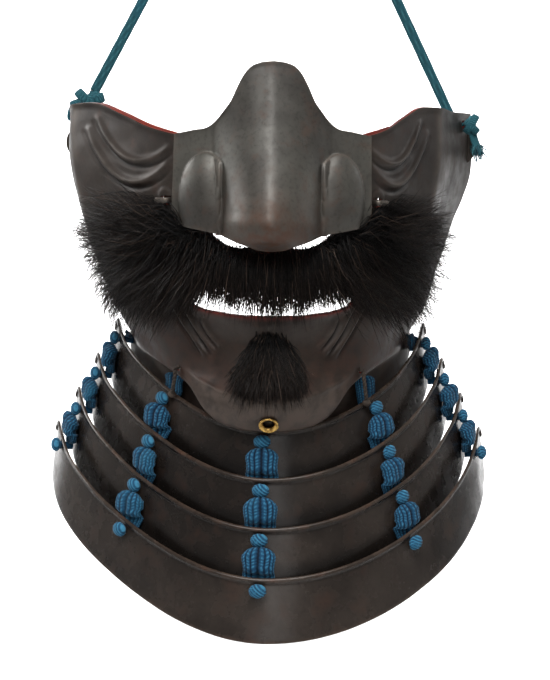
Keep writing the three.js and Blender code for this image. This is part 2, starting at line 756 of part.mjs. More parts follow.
// The columns stand close where the wings' inner edges rise.
const noseColumnsRight = [0.15, 0.28, 0.4, 0.495, 0.57, 0.68, 0.8, 0.92, 1];
const noseColumns = [...noseColumnsRight.map((share) => -share).reverse(), 0, ...noseColumnsRight];

function noseSolid() {
  const columns = noseColumns.map((share) => aroundAt(share * noseHalfWidth, -0.2 * guardHeight));
  const outlineZ = (around, edge) => {
    const out = clamp(Math.abs(facePoint(around, -0.2 * guardHeight).x) / noseHalfWidth, 0, 1);
    return -guardHeight * readTable(noseOutline, "out", edge, out);
  };
  const rows = [0, 0.13, 0.27, 0.41, 0.53, 0.64, 0.74, 0.83, 0.91, 1];
  const height = (around, share) => {
    const top = outlineZ(around, "top");
    return top + (outlineZ(around, "low") - top) * share;
  };
  const outer = rows.map((share) => columns.map((a) => noseSurface(a, height(a, share))));
  const inner = rows.map((share) =>
    columns.map((a) => {
      const z = height(a, share);
      const normal = normalOf(noseSurface, a, z, 0.012, 0.8);
      return noseSurface(a, z).addScaledVector(normal, -noseThickness);
    }),
  );
  return solidOf(shellGeometry(outer, inner));
}

addPiece("nose_piece", noseSolid(), materials.iron);

// Nose pins: a bar that lies on the boss, with a leg and a foot through the plate's slot.

function nosePin(side) {
  const { at, out, sideways } = pinFrame(side);
  const clear = bossRise + seatGap + pinRadius;
  const inner = at.clone().addScaledVector(sideways, -pinSlot.wide / 3).addScaledVector(out, clear);
  const outer = at.clone().addScaledVector(sideways, pinSlot.wide / 2).addScaledVector(out, clear);
  const foot = inner.clone().addScaledVector(out, -clear - plateThickness - seatGap - 2 * pinRadius);
  const footEnd = foot.clone().addScaledVector(sideways, pinSlot.wide * 0.75);
  return pathSolid([outer, inner, foot, footEnd], pinRadius, 6);
}

addPiece("nose_pin_left", nosePin(-1), materials.steel);
addPiece("nose_pin_right", nosePin(1), materials.steel);

// Drain eyelet: a flanged brass tube through the chin.

function drainEyelet() {
  const rise = 1.1;
  const inside = plateThickness + 1.2;
  const profile = [
    [drainHoleRadius, -inside],
    [drainTubeRadius, -inside],
    [drainTubeRadius, seatGap],
    [drainFlangeRadius, seatGap],
    [drainFlangeRadius - 0.4, seatGap + rise],
    [drainHoleRadius, seatGap + rise],
    [drainHoleRadius, -inside],
  ].map(([radius, height]) => new THREE.Vector2(radius, height));
  const { at, out } = drainFrame();
  const ring = new THREE.LatheGeometry(profile, 12);
  ring.applyQuaternion(new THREE.Quaternion().setFromUnitVectors(new THREE.Vector3(0, 1, 0), out));
  ring.translate(at.x, at.y, at.z);
  return solidOf(ring);
}

addPiece("drain_eyelet", drainEyelet(), materials.brass);

// Lacing: each lace lies on one plate, goes down behind the next lame's top edge and out through its holes.

// Stations of a pair of braids down a plate: its place between the knots, its fullness and its thickness.
const laceStations = [
  { down: 0.0, wide: 0.5, bulge: 0.45, inGap: 0 },
  { down: 0.24, wide: 1.0, bulge: 1.0, inGap: 0 },
  { down: 0.64, wide: 1.0, bulge: 0.0, inGap: 1 },
  { down: 1.0, wide: 0.7, bulge: 0.0, inGap: 1 },
];

function laceSolid(row, angle) {
  const knotAt = lamePoint(row, angle, laceHoleDown);
  const out = lameNormal(row, angle, laceHoleDown);
  const beside = lamePoint(row, angle + 1, laceHoleDown);
  const across = beside.sub(lamePoint(row, angle - 1, laceHoleDown)).normalize();
  const up = out.clone().cross(across).normalize();
  // The level of the next hole, measured down the plate above.
  const lowEnd = lamePoint(row - 1, angle, 0).z - knotAt.z;
  const underKnot = laceHoleDown + laceKnotSize.tall / 2 + seatGap;
  const around = aroundAt(knotAt.x, knotAt.z);
  const underJaw = lamePoint(0, angle, 0).z - flangeTopZ(around) + laceJawGap;
  const highEnd = row > 1 ? underKnot : Math.min(underJaw, lowEnd - laceLeast);
  const face = (down) => lamePoint(row - 1, angle, down);
  const gapAt = (down) => {
    const level = lamePoint(row, angle, 0).z - face(down).z;
    const behind = lameInside(row, angle, Math.max(level, 0), lameThickness);
    return behind.sub(face(down)).dot(lameNormal(row - 1, angle, down)) - 2 * seatGap - laceSlack;
  };
  const stations = laceStations.map(({ down, wide, bulge, inGap }) => {
    const at = highEnd + (lowEnd - highEnd) * down;
    const normal = lameNormal(row - 1, angle, at);
    const squeezed = Math.min(laceBulge, gapAt(at));
    const free = row > 1 ? laceBulge * bulge : squeezed * (0.6 + 0.4 * bulge);
    const thick = inGap ? squeezed : free;
    const centre = face(at).addScaledVector(normal, seatGap + thick / 2);
    return { at: centre, wideWay: across, thickWay: normal, wide: laceWidth * wide, thick };
  });
  const pair = solidOf(loftGeometry(ringsAlong(stations, 6)));
  const knotCentre = knotAt.clone().addScaledVector(out, seatGap + laceKnotSize.thick / 2);
  const halves = [laceKnotSize.wide / 2, laceKnotSize.tall / 2, laceKnotSize.thick / 2];
  const knot = ballSolid(knotCentre, [across, up, out], halves, 6, 3);
  // On the first lame the neck runs on through the flange to a knot inside it.
  const flangeAt = lamePoint(0, angle, flangeDown(angle));
  const toFlange = knotAt.clone().sub(flangeAt).dot(out) + plateThickness + laceKnotSize.thick / 2 + seatGap;
  const neckLength = row > 1 ? lameThickness + laceSlack + laceBulge / 2 : toFlange;
  const neckEnd = knotAt.clone().addScaledVector(out, -neckLength);
  const neck = barSolid(knotCentre, neckEnd, laceNeckRadius, 5);
  const joined = pair.add(knot).add(neck);
  if (row > 1) return joined;
  const inside = neckEnd.clone().addScaledVector(out, -laceKnotSize.thick / 4);
  return joined.add(ballSolid(inside, [across, up, out], halves.map((h) => h * 0.9), 6, 3));
}

for (let row = 1; row <= lameCount; row += 1) {
  laceAngles.forEach((angle, column) => {
    addPiece(`lace_r${row}_c${column + 1}`, laceSolid(row, angle), materials.braid);
  });
}

// Thongs: a thin twisted tie from the jaw to the first lame's edge, knotted inside the jaw.

function thongSolid(side) {
  const { at, out } = thongHole(side);
  const lift = thongRadius + seatGap;
  const inside = at.clone().addScaledVector(out, -plateThickness - seatGap - thongRadius);
  const outside = at.clone().addScaledVector(out, lift);
  const jaw = faceLifted(side * (thongAround + 0.01), jawEdgeZ(thongAround) + 0.5, lift + 0.4);
  const lameAngle = side * (Math.abs(laceAngles[3]) - 4);
  const rim = lamePoint(1, lameAngle, 0.5).addScaledVector(
    lameNormal(1, lameAngle, 0.5),
    lameRimRise + seatGap + thongRadius,
  );
  const tie = pathSolid([inside, outside, jaw, rim], thongRadius, 6);
  const ways = [new THREE.Vector3(1, 0, 0), new THREE.Vector3(0, 1, 0), new THREE.Vector3(0, 0, 1)];
  const stopper = inside.clone().addScaledVector(out, -thongRadius);
  return tie.add(ballSolid(stopper, ways, Array(3).fill(2 * thongRadius), 6, 4));
}

addPiece("thong_left", thongSolid(-1), materials.thong);
addPiece("thong_right", thongSolid(1), materials.thong);

// Hair: a fan of locks that springs from a line of roots and follows the face. Every second column of the
// fan is a furrow between two locks, so it lies lower and ends sooner.

const hairFurrow = { depth: 1.4, shorter: 0.16 };

// Where the hairs of a fan start and end, from its middle (0) to its side (1), as shares round and down.
const moustacheFan = [
  { across: 0.0, rootAround: 0.0, rootDown: 0.475, tipAround: 0.0, tipDown: 0.585 },
  { across: 0.2, rootAround: 0.13, rootDown: 0.475, tipAround: 0.16, tipDown: 0.585 },
  { across: 0.4, rootAround: 0.21, rootDown: 0.475, tipAround: 0.34, tipDown: 0.595 },
  { across: 0.6, rootAround: 0.26, rootDown: 0.47, tipAround: 0.56, tipDown: 0.59 },
  { across: 0.8, rootAround: 0.27, rootDown: 0.46, tipAround: 0.7, tipDown: 0.5 },
  { across: 1.0, rootAround: 0.27, rootDown: 0.45, tipAround: 0.58, tipDown: 0.375 },
];
const tuftFan = [
  { across: 0.0, rootAround: 0.0, rootDown: 0.69, tipAround: 0.0, tipDown: 0.9 },
  { across: 1.0, rootAround: 0.055, rootDown: 0.69, tipAround: 0.15, tipDown: 0.885 },
];

// One fan: its columns on each side, its lift off the face at root and tip, and its thickness at the root.
function hairFan(table, { columns, rootLift, tipLift, thick }) {
  const rows = [0, 0.12, 0.4, 0.75, 1];
  const place = (column, t, lift) => {
    const across = Math.abs(column) / columns;
    const side = Math.sign(column);
    const read = (name) => readTable(table, "across", name, across);
    const long = column % 2 === 0 ? t : t * (1 - hairFurrow.shorter);
    const around = side * (read("rootAround") + (read("tipAround") - read("rootAround")) * long);
    const down = read("rootDown") + (read("tipDown") - read("rootDown")) * long;
    return faceLifted(around, -down * guardHeight, lift);
  };
  const order = spread(2 * columns, -columns, columns).map(Math.round);
  const under = (t) => rootLift + (tipLift - rootLift) * t ** 2;
  const full = (t) => thick * Math.sin(Math.PI * (0.14 + 0.86 * t)) ** 0.6 + 0.6;
  const furrow = (column, t) => (column % 2 === 0 ? 0 : hairFurrow.depth * Math.sin(Math.PI * t));
  const outer = rows.map((t) => order.map((c) => place(c, t, under(t) + full(t) - furrow(c, t))));
  const inner = rows.map((t) => order.map((c) => place(c, t, under(t))));
  return solidOf(shellGeometry(outer, inner));
}

const moustache = hairFan(moustacheFan, { columns: 14, rootLift: 0.6, tipLift: 4, thick: 4.2 });
const chinTuft = hairFan(tuftFan, { columns: 4, rootLift: 1.1, tipLift: 1.6, thick: 3 });
addPiece("moustache", moustache, materials.hair);
addPiece("chin_tuft", chinTuft, materials.hair);

// Hanging cord: a flat woven cord from a knot on the left ear hole, over the hook, to the right ear hole.

const knotRise = 8; // the left knot's middle above the plate's top edge
const knotHalf = { wide: 5.5, deep: 3, tall: 4 };

// The ends of the cord, in the guard's own frame.
function cordEnds() {
  const left = earHole(-1);
  const right = earHole(1);
  const leftEnd = new THREE.Vector3(left.at.x + 8.6, left.at.y, topEdgeZ(-1) + knotRise + knotHalf.tall / 2);
  const behind = right.at.clone().addScaledVector(right.out, -plateThickness - seatGap - cordWidth / 2);
  return { leftEnd, behind };
}

// The cord's middle line: straight legs, and an arc over the hook.
function cordPath() {
  const { leftEnd, behind } = cordEnds();
  const top = new THREE.Vector3(0, leftEnd.y, hangRise + cordWidth / 2);
  const centre = top.clone().sub(new THREE.Vector3(0, 0, cordBendRadius));
  // The leg leaves the bend along its tangent.
  const toEnd = centre.clone().sub(leftEnd);
  const slant = Math.atan2(toEnd.x, toEnd.z);
  const half = slant - Math.asin(cordBendRadius / Math.hypot(toEnd.x, toEnd.z));
  const arc = spread(8, Math.PI / 2 - half, half - Math.PI / 2).map((turn) =>
    centre.clone().add(new THREE.Vector3(-cordBendRadius * Math.sin(turn), 0, cordBendRadius * Math.cos(turn))),
  );
  const line = (from, to, count) => spread(count, 0, 1).map((t) => from.clone().lerp(to, t));
  const up = line(leftEnd, arc[0], 6).slice(0, -1);
  const down = line(arc[arc.length - 1], behind, 7).slice(1);
  return [...up, ...arc, ...down];
}

function cordSolid() {
  const curve = new THREE.CatmullRomCurve3(cordPath(), false, "centripetal");
  const corner = (angle) =>
    new THREE.Vector2((cordThickness / 2) * Math.cos(angle), (cordWidth / 2) * Math.sin(angle));
  const section = new THREE.Shape(spread(8, 0, 2 * Math.PI).slice(0, 8).map(corner));
  const tube = new THREE.ExtrudeGeometry(section, { steps: 40, extrudePath: curve, bevelEnabled: false });
  return solidOf(tube);
}

addPiece("hanging_cord", cordSolid(), materials.cord);

// The left knot: a lump above the cheek's corner, with the cord's loop through the ear hole.
function leftKnot() {
  const { at, out } = earHole(-1);
  const { leftEnd } = cordEnds();
  const radius = earHoleRadius - seatGap;
  const centre = leftEnd.clone().add(new THREE.Vector3(-3, 0, -knotHalf.tall - seatGap));
  const ways = [new THREE.Vector3(1, 0, 0), new THREE.Vector3(0, 1, 0), new THREE.Vector3(0, 0, 1)];
  const lump = ballSolid(centre, ways, [knotHalf.wide, knotHalf.deep, knotHalf.tall], 9, 5);
  const clear = radius + seatGap;
  const outside = at.clone().addScaledVector(out, clear);
  const inside = at.clone().addScaledVector(out, -plateThickness - clear);
  const overOutside = outside.clone().setZ(topEdgeZ(-1) + 2);
  const overInside = inside.clone().setZ(topEdgeZ(-1) + 2);
  const loop = pathSolid([centre, overOutside, outside, inside, overInside, centre], radius * 0.9, 6);
  return lump.add(loop);
}

// The right knot: a stopper outside the ear hole, with a frayed end hanging from it.
function rightKnot() {
  const { at, out } = earHole(1);
  const radius = earHoleRadius - seatGap;
  const ways = [new THREE.Vector3(1, 0, 0), new THREE.Vector3(0, 1, 0), new THREE.Vector3(0, 0, 1)];
  const lumpCentre = at.clone().addScaledVector(out, seatGap + 3.2);
  const lump = ballSolid(lumpCentre, ways, [3, 3.4, 5.2], 8, 5);
  const inner = at.clone().addScaledVector(out, -plateThickness);
  const neck = barSolid(lumpCentre, inner, radius * 0.9, 6);
  const downward = new THREE.Vector3(0.22, 0, -1).normalize();
  const tail = [
    { drop: 0, wide: 5, thick: 4 },
    { drop: 7, wide: 4.4, thick: 3.6 },
    { drop: 11, wide: 6.4, thick: 4.4 },
    { drop: 15, wide: 3, thick: 2 },
  ].map(({ drop, wide, thick }) => ({
    at: lumpCentre.clone().addScaledVector(downward, drop),
    wideWay: new THREE.Vector3(1, 0, 0),
    thickWay: new THREE.Vector3(0, 1, 0),
    wide,
    thick,
  }));
  return lump.add(neck).add(solidOf(loftGeometry(ringsAlong(tail, 6))));
}

addPiece("cord_knot_left", leftKnot(), materials.cord);
addPiece("cord_knot_right", rightKnot(), materials.cord);

// The guard's own frame starts between the cheeks' back corners, so it is moved down until its cord's bend
// lies on the origin.
guard.position.set(0, -cordEnds().leftEnd.y, -hangRise);

const part = new THREE.Group();
part.add(guard);

export default part;
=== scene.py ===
"""A samurai face guard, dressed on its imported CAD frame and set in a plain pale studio.

While a piece is made its lengths are millimetres in the guard's own frame: the origin lies midway between the
two back corners of the cheeks, +Z up, and the face looks along -Y. A finished piece is in metres in the row's
frame, whose origin is the point of the hook that the cord lies on.
"""

import logging
import math
from dataclasses import dataclass
from enum import Enum
from typing import Callable, Sequence

import bmesh
import bpy
import numpy as np
from mathutils import Matrix, Vector


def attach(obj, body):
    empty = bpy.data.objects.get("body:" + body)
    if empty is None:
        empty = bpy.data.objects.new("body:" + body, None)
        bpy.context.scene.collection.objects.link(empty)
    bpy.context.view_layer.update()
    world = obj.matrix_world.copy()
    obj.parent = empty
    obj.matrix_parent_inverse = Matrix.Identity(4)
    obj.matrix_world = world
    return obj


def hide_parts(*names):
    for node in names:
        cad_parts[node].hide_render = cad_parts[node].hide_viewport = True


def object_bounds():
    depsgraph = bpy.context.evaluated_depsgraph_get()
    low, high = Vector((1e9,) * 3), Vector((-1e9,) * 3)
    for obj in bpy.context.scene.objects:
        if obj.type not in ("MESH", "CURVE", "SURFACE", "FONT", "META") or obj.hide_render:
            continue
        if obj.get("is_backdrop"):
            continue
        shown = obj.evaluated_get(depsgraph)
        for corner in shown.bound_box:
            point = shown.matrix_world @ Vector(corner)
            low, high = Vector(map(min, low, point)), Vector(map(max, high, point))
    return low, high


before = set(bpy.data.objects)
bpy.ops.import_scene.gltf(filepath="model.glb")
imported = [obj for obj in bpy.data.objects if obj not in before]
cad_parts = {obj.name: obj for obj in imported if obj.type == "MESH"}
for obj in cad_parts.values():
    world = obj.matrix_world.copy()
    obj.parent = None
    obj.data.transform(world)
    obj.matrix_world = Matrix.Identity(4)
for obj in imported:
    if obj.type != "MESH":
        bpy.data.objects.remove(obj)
log = logging.getLogger("face_guard")

Array = np.ndarray
BMesh = bmesh.types.BMesh
Mesh = bpy.types.Mesh
Piece = bpy.types.Object
Nodes = bpy.types.NodeTree
Socket = bpy.types.NodeSocket
Triple = tuple[float, float, float]
Table = tuple[tuple[float, ...], ...]
Surface = Callable[[Array, Array], Array]
SEAT_GAP = 0.35  # between pieces that lie on each other
HANG_RISE = 143.0  # from the ear holes' level up to the hook


class Slot(Enum):
    """The record's material slots."""

    IRON = "russet_iron"
    PIN = "pin_iron"
    HAIR = "hair"
    BRASS = "eyelet_brass"
    LACQUER = "lame_lacquer"
    BRAID = "lace_braid"
    THONG = "thong_hide"
    CORD = "cord_braid"


class Side(Enum):
    """The guard's left and right, as they are seen from the front."""

    LEFT = -1
    RIGHT = 1


# Curves and outlines


def smooth_curve(places: Sequence[float], values: Array, at: Array) -> Array:
    """Reads a smooth curve through a table: a cubic between each pair of rows, run straight on past the ends.

    Args:
        places: Where the table's rows lie, rising.
        values: One value a row, or one column for each place that is read.
        at: The places to read.

    Returns:
        The curve's values there.
    """
    places = np.asarray(places, dtype=float)
    at = np.atleast_1d(np.asarray(at, dtype=float))
    values = np.asarray(values, dtype=float)
    if values.ndim == 1:
        values = np.repeat(values[:, None], at.size, axis=1)
    step = np.diff(places)[:, None]
    slope = np.diff(values, axis=0) / step
    inner = (step[1:] * slope[:-1] + step[:-1] * slope[1:]) / (step[:-1] + step[1:])
    tangent = np.vstack([slope[:1], inner, slope[-1:]])
    row = np.clip(np.searchsorted(places, at, side="left") - 1, 0, len(places) - 2)
    column = np.arange(at.size)
    width = places[row + 1] - places[row]
    t = (at - places[row]) / width
    inside = np.clip(t, 0, 1)
    blend = inside * inside * (3 - 2 * inside)
    enter = tangent[row, column] * width
    leave = tangent[row + 1, column] * width
    curve = values[row, column] * (1 - blend) + values[row + 1, column] * blend
    curve += inside * (1 - inside) ** 2 * enter + inside**2 * (inside - 1) * leave
    return curve + np.minimum(t, 0) * enter + np.maximum(t - 1, 0) * leave


def read_table(table: Table, column: int, at: Array) -> Array:
    """Reads one column of a table smoothly by its first column."""
    rows = np.asarray(table, dtype=float)
    return smooth_curve(rows[:, 0], rows[:, column], at)


def ease_step(low: float, high: float, value: Array) -> Array:
    """A soft step from 0 at low to 1 at high."""
    t = np.clip((np.asarray(value, dtype=float) - low) / (high - low), 0, 1)
    return t * t * (3 - 2 * t)


def peak(away: Array, half: float) -> Array:
    """A soft peak of 1 where away is 0, down to a third at half."""
    return np.exp(-((away / half) ** 2))


def unit(vectors: Array) -> Array:
    """The vectors at a length of one."""
    return vectors / np.maximum(np.linalg.norm(vectors, axis=-1, keepdims=True), 1e-12)


def smooth_path(points: Sequence[Sequence[float]], count: int) -> Array:
    """An even run of points along a smooth line through a few given ones."""
    given = np.asarray(points, dtype=float)
    lengths = np.linalg.norm(np.diff(given, axis=0), axis=1)
    places = np.concatenate([[0.0], np.cumsum(lengths)])
    at = np.linspace(0, places[-1], count)
    return np.stack([smooth_curve(places, given[:, axis], at) for axis in range(3)], axis=1)


def inside_outline(outline: Array, places: Array) -> Array:
    """Which of the places lie inside a closed flat outline."""
    x, y = places[:, 0], places[:, 1]
    inside = np.zeros(len(places), dtype=bool)
    for (x0, y0), (x1, y1) in zip(outline, np.roll(outline, -1, axis=0)):
        if y0 == y1:
            continue
        crosses = (y0 > y) != (y1 > y)
        inside ^= crosses & (x < (x1 - x0) * (y - y0) / (y1 - y0) + x0)
    return inside


def nearest_on_line(line: Array, places: Array, closed: bool) -> tuple[Array, Array, Array]:
    """Finds the nearest point of a line for each place.

    Args:
        line: The line's own points, flat or in space.
        places: The places to measure from.
        closed: Whether the line's end joins its start.

    Returns:
        The nearest points, their distances, and how far along the line they lie from 0 to 1.
    """
    ends = np.roll(line, -1, axis=0) if closed else line[1:]
    starts = line[: len(ends)]
    nearest = places.copy()
    distance = np.full(len(places), np.inf)
    along = np.zeros(len(places))
    for i, (start, end) in enumerate(zip(starts, ends)):
        way = end - start
        t = np.clip(((places - start) @ way) / max(float(way @ way), 1e-9), 0, 1)
        point = start + t[:, None] * way
        gap = np.linalg.norm(places - point, axis=1)
        closer = gap < distance
        distance[closer] = gap[closer]
        nearest[closer] = point[closer]
        along[closer] = (i + t[closer]) / len(ends)
    return nearest, distance, along


def surface_normals(surface: Surface, a: Array, b: Array, step_a: float, step_b: float) -> Array:
    """Outward normals of a surface read by two numbers, the first to the right and the second up."""
    across = surface(a + step_a, b) - surface(a - step_a, b)
    up = surface(a, b + step_b) - surface(a, b - step_b)
    return unit(np.cross(across, up))


@dataclass(frozen=True)
class HammerMarks:
    """The soft unevenness that hammering leaves in a plate, the same on every run.

    Attributes:
        least: Shortest distance between two dents.
        most: Longest distance between two dents.
        deep: How far a dent lies below its rim.
        seed: Which set of dents it is.
    """

    least: float = 9.0
    most: float = 26.0
    deep: float = 0.16
    seed: int = 3

    def relief(self, points: Array) -> Array:
        """How far the surface stands out of its form at each point."""
        chance = np.random.default_rng(self.seed)
        waves = 14
        ways = unit(chance.normal(size=(waves, 3)))
        pitches = chance.uniform(self.least, self.most, waves)
        starts = chance.uniform(0, 2 * math.pi, waves)
        phases = points @ (ways / pitches[:, None]).T * 2 * math.pi + starts
        return np.sin(phases).sum(axis=1) * self.deep / math.sqrt(2 * waves)


# The guard's forms, as its CAD source gives them


@dataclass(frozen=True)
class FaceForm:
    """The face plate's outer surface: level sections from the brow to the chin.

    Widths are shares of half the width, depths of the depth, and down is a share of the height.
    """

    width: float = 177.0
    depth: float = 104.0
    height: float = 131.0
    corner_skew: float = 0.09
    left_droop: float = 3.0
    thickness: float = 1.5
    sheet_half: float = 140.0  # how long one side of the plate is when it is laid flat
    ear_around: float = 0.92  # share of the way round to the back edge
    ear_drop: float = 5.0  # below the top edge
    thong_around: float = 0.37
    thong_rise: float = 4.0  # above the jaw's edge
    drain_down: float = 0.965
    boss_rise: float = 0.7  # of the round bosses under the nose pins
    under_rise: float = 4.5  # how far the neck flange starts above the edge of the chin
    under_drop: float = 1.2  # and how far below the edge of the jaw at the sides
    # down, lip, cheek wide, cheek deep, corner wide, corner deep, back wide, back deep
    sections: Table = (
        (-0.13, 0.93, 0.45, 0.79, 0.85, 0.42, 0.975, 0.0),
        (0.0, 0.94, 0.455, 0.81, 0.852, 0.42, 0.985, 0.0),
        (0.19, 0.95, 0.46, 0.845, 0.845, 0.44, 0.995, 0.0),
        (0.38, 0.97, 0.46, 0.835, 0.785, 0.44, 0.9, 0.02),
        (0.52, 1.0, 0.435, 0.81, 0.725, 0.44, 0.83, 0.05),
        (0.64, 0.97, 0.42, 0.775, 0.675, 0.435, 0.775, 0.08),
        (0.74, 0.925, 0.405, 0.76, 0.625, 0.435, 0.69, 0.115),
        (0.82, 0.97, 0.39, 0.77, 0.58, 0.46, 0.64, 0.14),
        (0.895, 1.03, 0.375, 0.79, 0.56, 0.46, 0.63, 0.15),
        (1.0, 0.955, 0.365, 0.765, 0.55, 0.46, 0.625, 0.15),
    )
    # around, down
    top_edge: Table = (
        (0.0, 0.1), (0.31, 0.092), (0.4, 0.068), (0.48, 0.03),
        (0.56, -0.004), (0.64, -0.008), (0.8, 0.0), (1.0, 0.0),
    )
    jaw_edge: Table = (
        (0.0, 1.0), (0.13, 0.993), (0.2, 0.975), (0.27, 0.93), (0.31, 0.882),
        (0.37, 0.848), (0.45, 0.825), (0.6, 0.798), (0.85, 0.76), (1.0, 0.715),
    )

    def point(self, around: Array, z: Array) -> Array:
        """Points of the outer surface, around from -1 at the left back edge to 1 at the right one."""
        around, z = np.broadcast_arrays(np.atleast_1d(around).astype(float), np.atleast_1d(z).astype(float))
        down = -z / self.height
        lip, cheek_wide, cheek_deep, corner_wide, corner_deep, back_wide, back_deep = (
            read_table(self.sections, column, down) for column in range(1, 8)
        )
        side = np.where(around < 0, -1.0, 1.0)
        half = self.width / 2
        skew = self.corner_skew * side * (1 - ease_step(0.55, 0.85, down))
        cheek = cheek_wide * half * (1 - skew / 3)
        middle = np.zeros_like(cheek)
        wide = np.stack([-cheek, middle, cheek, corner_wide * half * (1 - skew), back_wide * half])
        deep = np.stack([cheek_deep, lip, cheek_deep, corner_deep, back_deep])
        places = (-1 / 3, 0, 1 / 3, 2 / 3, 1)
        x = side * smooth_curve(places, wide, np.abs(around))
        y = -self.depth * smooth_curve(places, deep, np.abs(around))
        return np.stack([x, y, z], axis=1)

    def normal(self, around: Array, z: Array) -> Array:
        """Outward normals of the outer surface."""
        return surface_normals(self.point, np.atleast_1d(around), np.atleast_1d(z), 0.004, 0.3)

    def lifted(self, around: Array, z: Array, lift: Array) -> Array:
        """Points that stand off the outer surface by a distance."""
        lift = np.atleast_1d(lift)[:, None]
        return self.point(around, z) + self.normal(around, z) * lift

    def around_at(self, x: Array, z: Array) -> Array:
        """How far around the face a distance from the middle plane lies, at a height."""
        x, z = np.broadcast_arrays(np.atleast_1d(x).astype(float), np.atleast_1d(z).astype(float))
        low, high = np.full(x.shape, -1.0), np.full(x.shape, 1.0)
        for _ in range(24):
            middle = (low + high) / 2
            inside = self.point(middle, z)[:, 0] < x
            low = np.where(inside, middle, low)
            high = np.where(inside, high, middle)
        return (low + high) / 2

    def flat_of(self, points: Array) -> Array:
        """Where points seen from the front lie on the plate laid flat."""
        around = self.around_at(points[:, 0], points[:, -1])
        return np.stack([around * self.sheet_half, points[:, -1]], axis=1)

    def top_z(self, around: Array) -> Array:
        """Height of the plate's top edge."""
        around = np.atleast_1d(around)
        level = -self.height * read_table(self.top_edge, 1, np.abs(around))
        return level - np.where(around < 0, self.left_droop * ease_step(0.55, 1, -around), 0)

    def jaw_z(self, around: Array) -> Array:
        """Height of the jaw's edge."""
        return -self.height * read_table(self.jaw_edge, 1, np.abs(np.atleast_1d(around)))

    def ear_hole(self, side: Side) -> tuple[Array, Array]:
        """The middle of an ear hole and the way that it faces."""
        place = self.ear_around
        z = self.top_z(place) - self.ear_drop
        return self.point(side.value * place, z)[0], self.normal(side.value * place, z)[0]

    def flange_top(self, around: Array) -> Array:
        """Height at which the neck flange starts behind the jaw."""
        under_chin = 1 - ease_step(0.14, 0.36, np.abs(around))
        return self.jaw_z(around) + self.under_rise * under_chin - self.under_drop * (1 - under_chin)


@dataclass(frozen=True)
class LameForm:
    """The throat lames' outer surfaces. Number 0 is the face plate's own neck flange."""

    half_width: float = 67.5
    depth: float = 92.0
    side_step: float = 8.5
    front_step: float = 8.2
    drop: float = 18.6
    height: float = 25.5
    thickness: float = 1.3
    tilt: float = 0.5
    lean: float = 0.14
    end_angle: float = 84.0
    left_flattening: float = 0.08
    right_flattening: float = 0.03
    corner_radius: float = 7.0
    rim_height: float = 2.2
    rim_rise: float = 0.8
    top_z: float = -130.0
    count: int = 4
    lace_angles: tuple[float, ...] = (-75, -39, -2, 39, 75)
    hole_down: float = 5.0  # the lace holes, below the top edge

    def point(self, number: int, angle: Array, down: Array) -> Array:
        """Points of a lame, round by an angle in degrees and down from its top edge."""
        angle, down = np.broadcast_arrays(np.atleast_1d(angle).astype(float), np.atleast_1d(down).astype(float))
        turn = np.radians(angle)
        half = self.half_width + (number - 1) * self.side_step
        deep = self.depth + (number - 1) * self.front_step
        flattening = np.where(angle < 0, self.left_flattening, self.right_flattening)
        forward = np.cos(turn) - flattening * np.sin(2 * turn) ** 2
        x = (half + self.lean * down) * np.sin(turn)
        y = -(deep + self.lean * down) * forward
        z = self.top_z - (number - 1) * self.drop + self.tilt * deep * (1 - forward) - down
        return np.stack([x, y, z], axis=1)

    def normal(self, number: int, angle: Array, down: Array) -> Array:
        """Outward normals of a lame."""
        angle, down = np.atleast_1d(angle), np.atleast_1d(down)
        return surface_normals(lambda a, up: self.point(number, a, -up), angle, -down, 0.5, 0.5)

    def end_cut(self, angle: Array) -> Array:
        """How much of the plate's height its round ends take away at the top and at the bottom."""
        to_end = np.radians(self.end_angle - np.abs(angle)) * self.half_width
        across = np.clip(self.corner_radius - to_end, 0, self.corner_radius)
        return self.corner_radius - np.sqrt(self.corner_radius**2 - across**2)


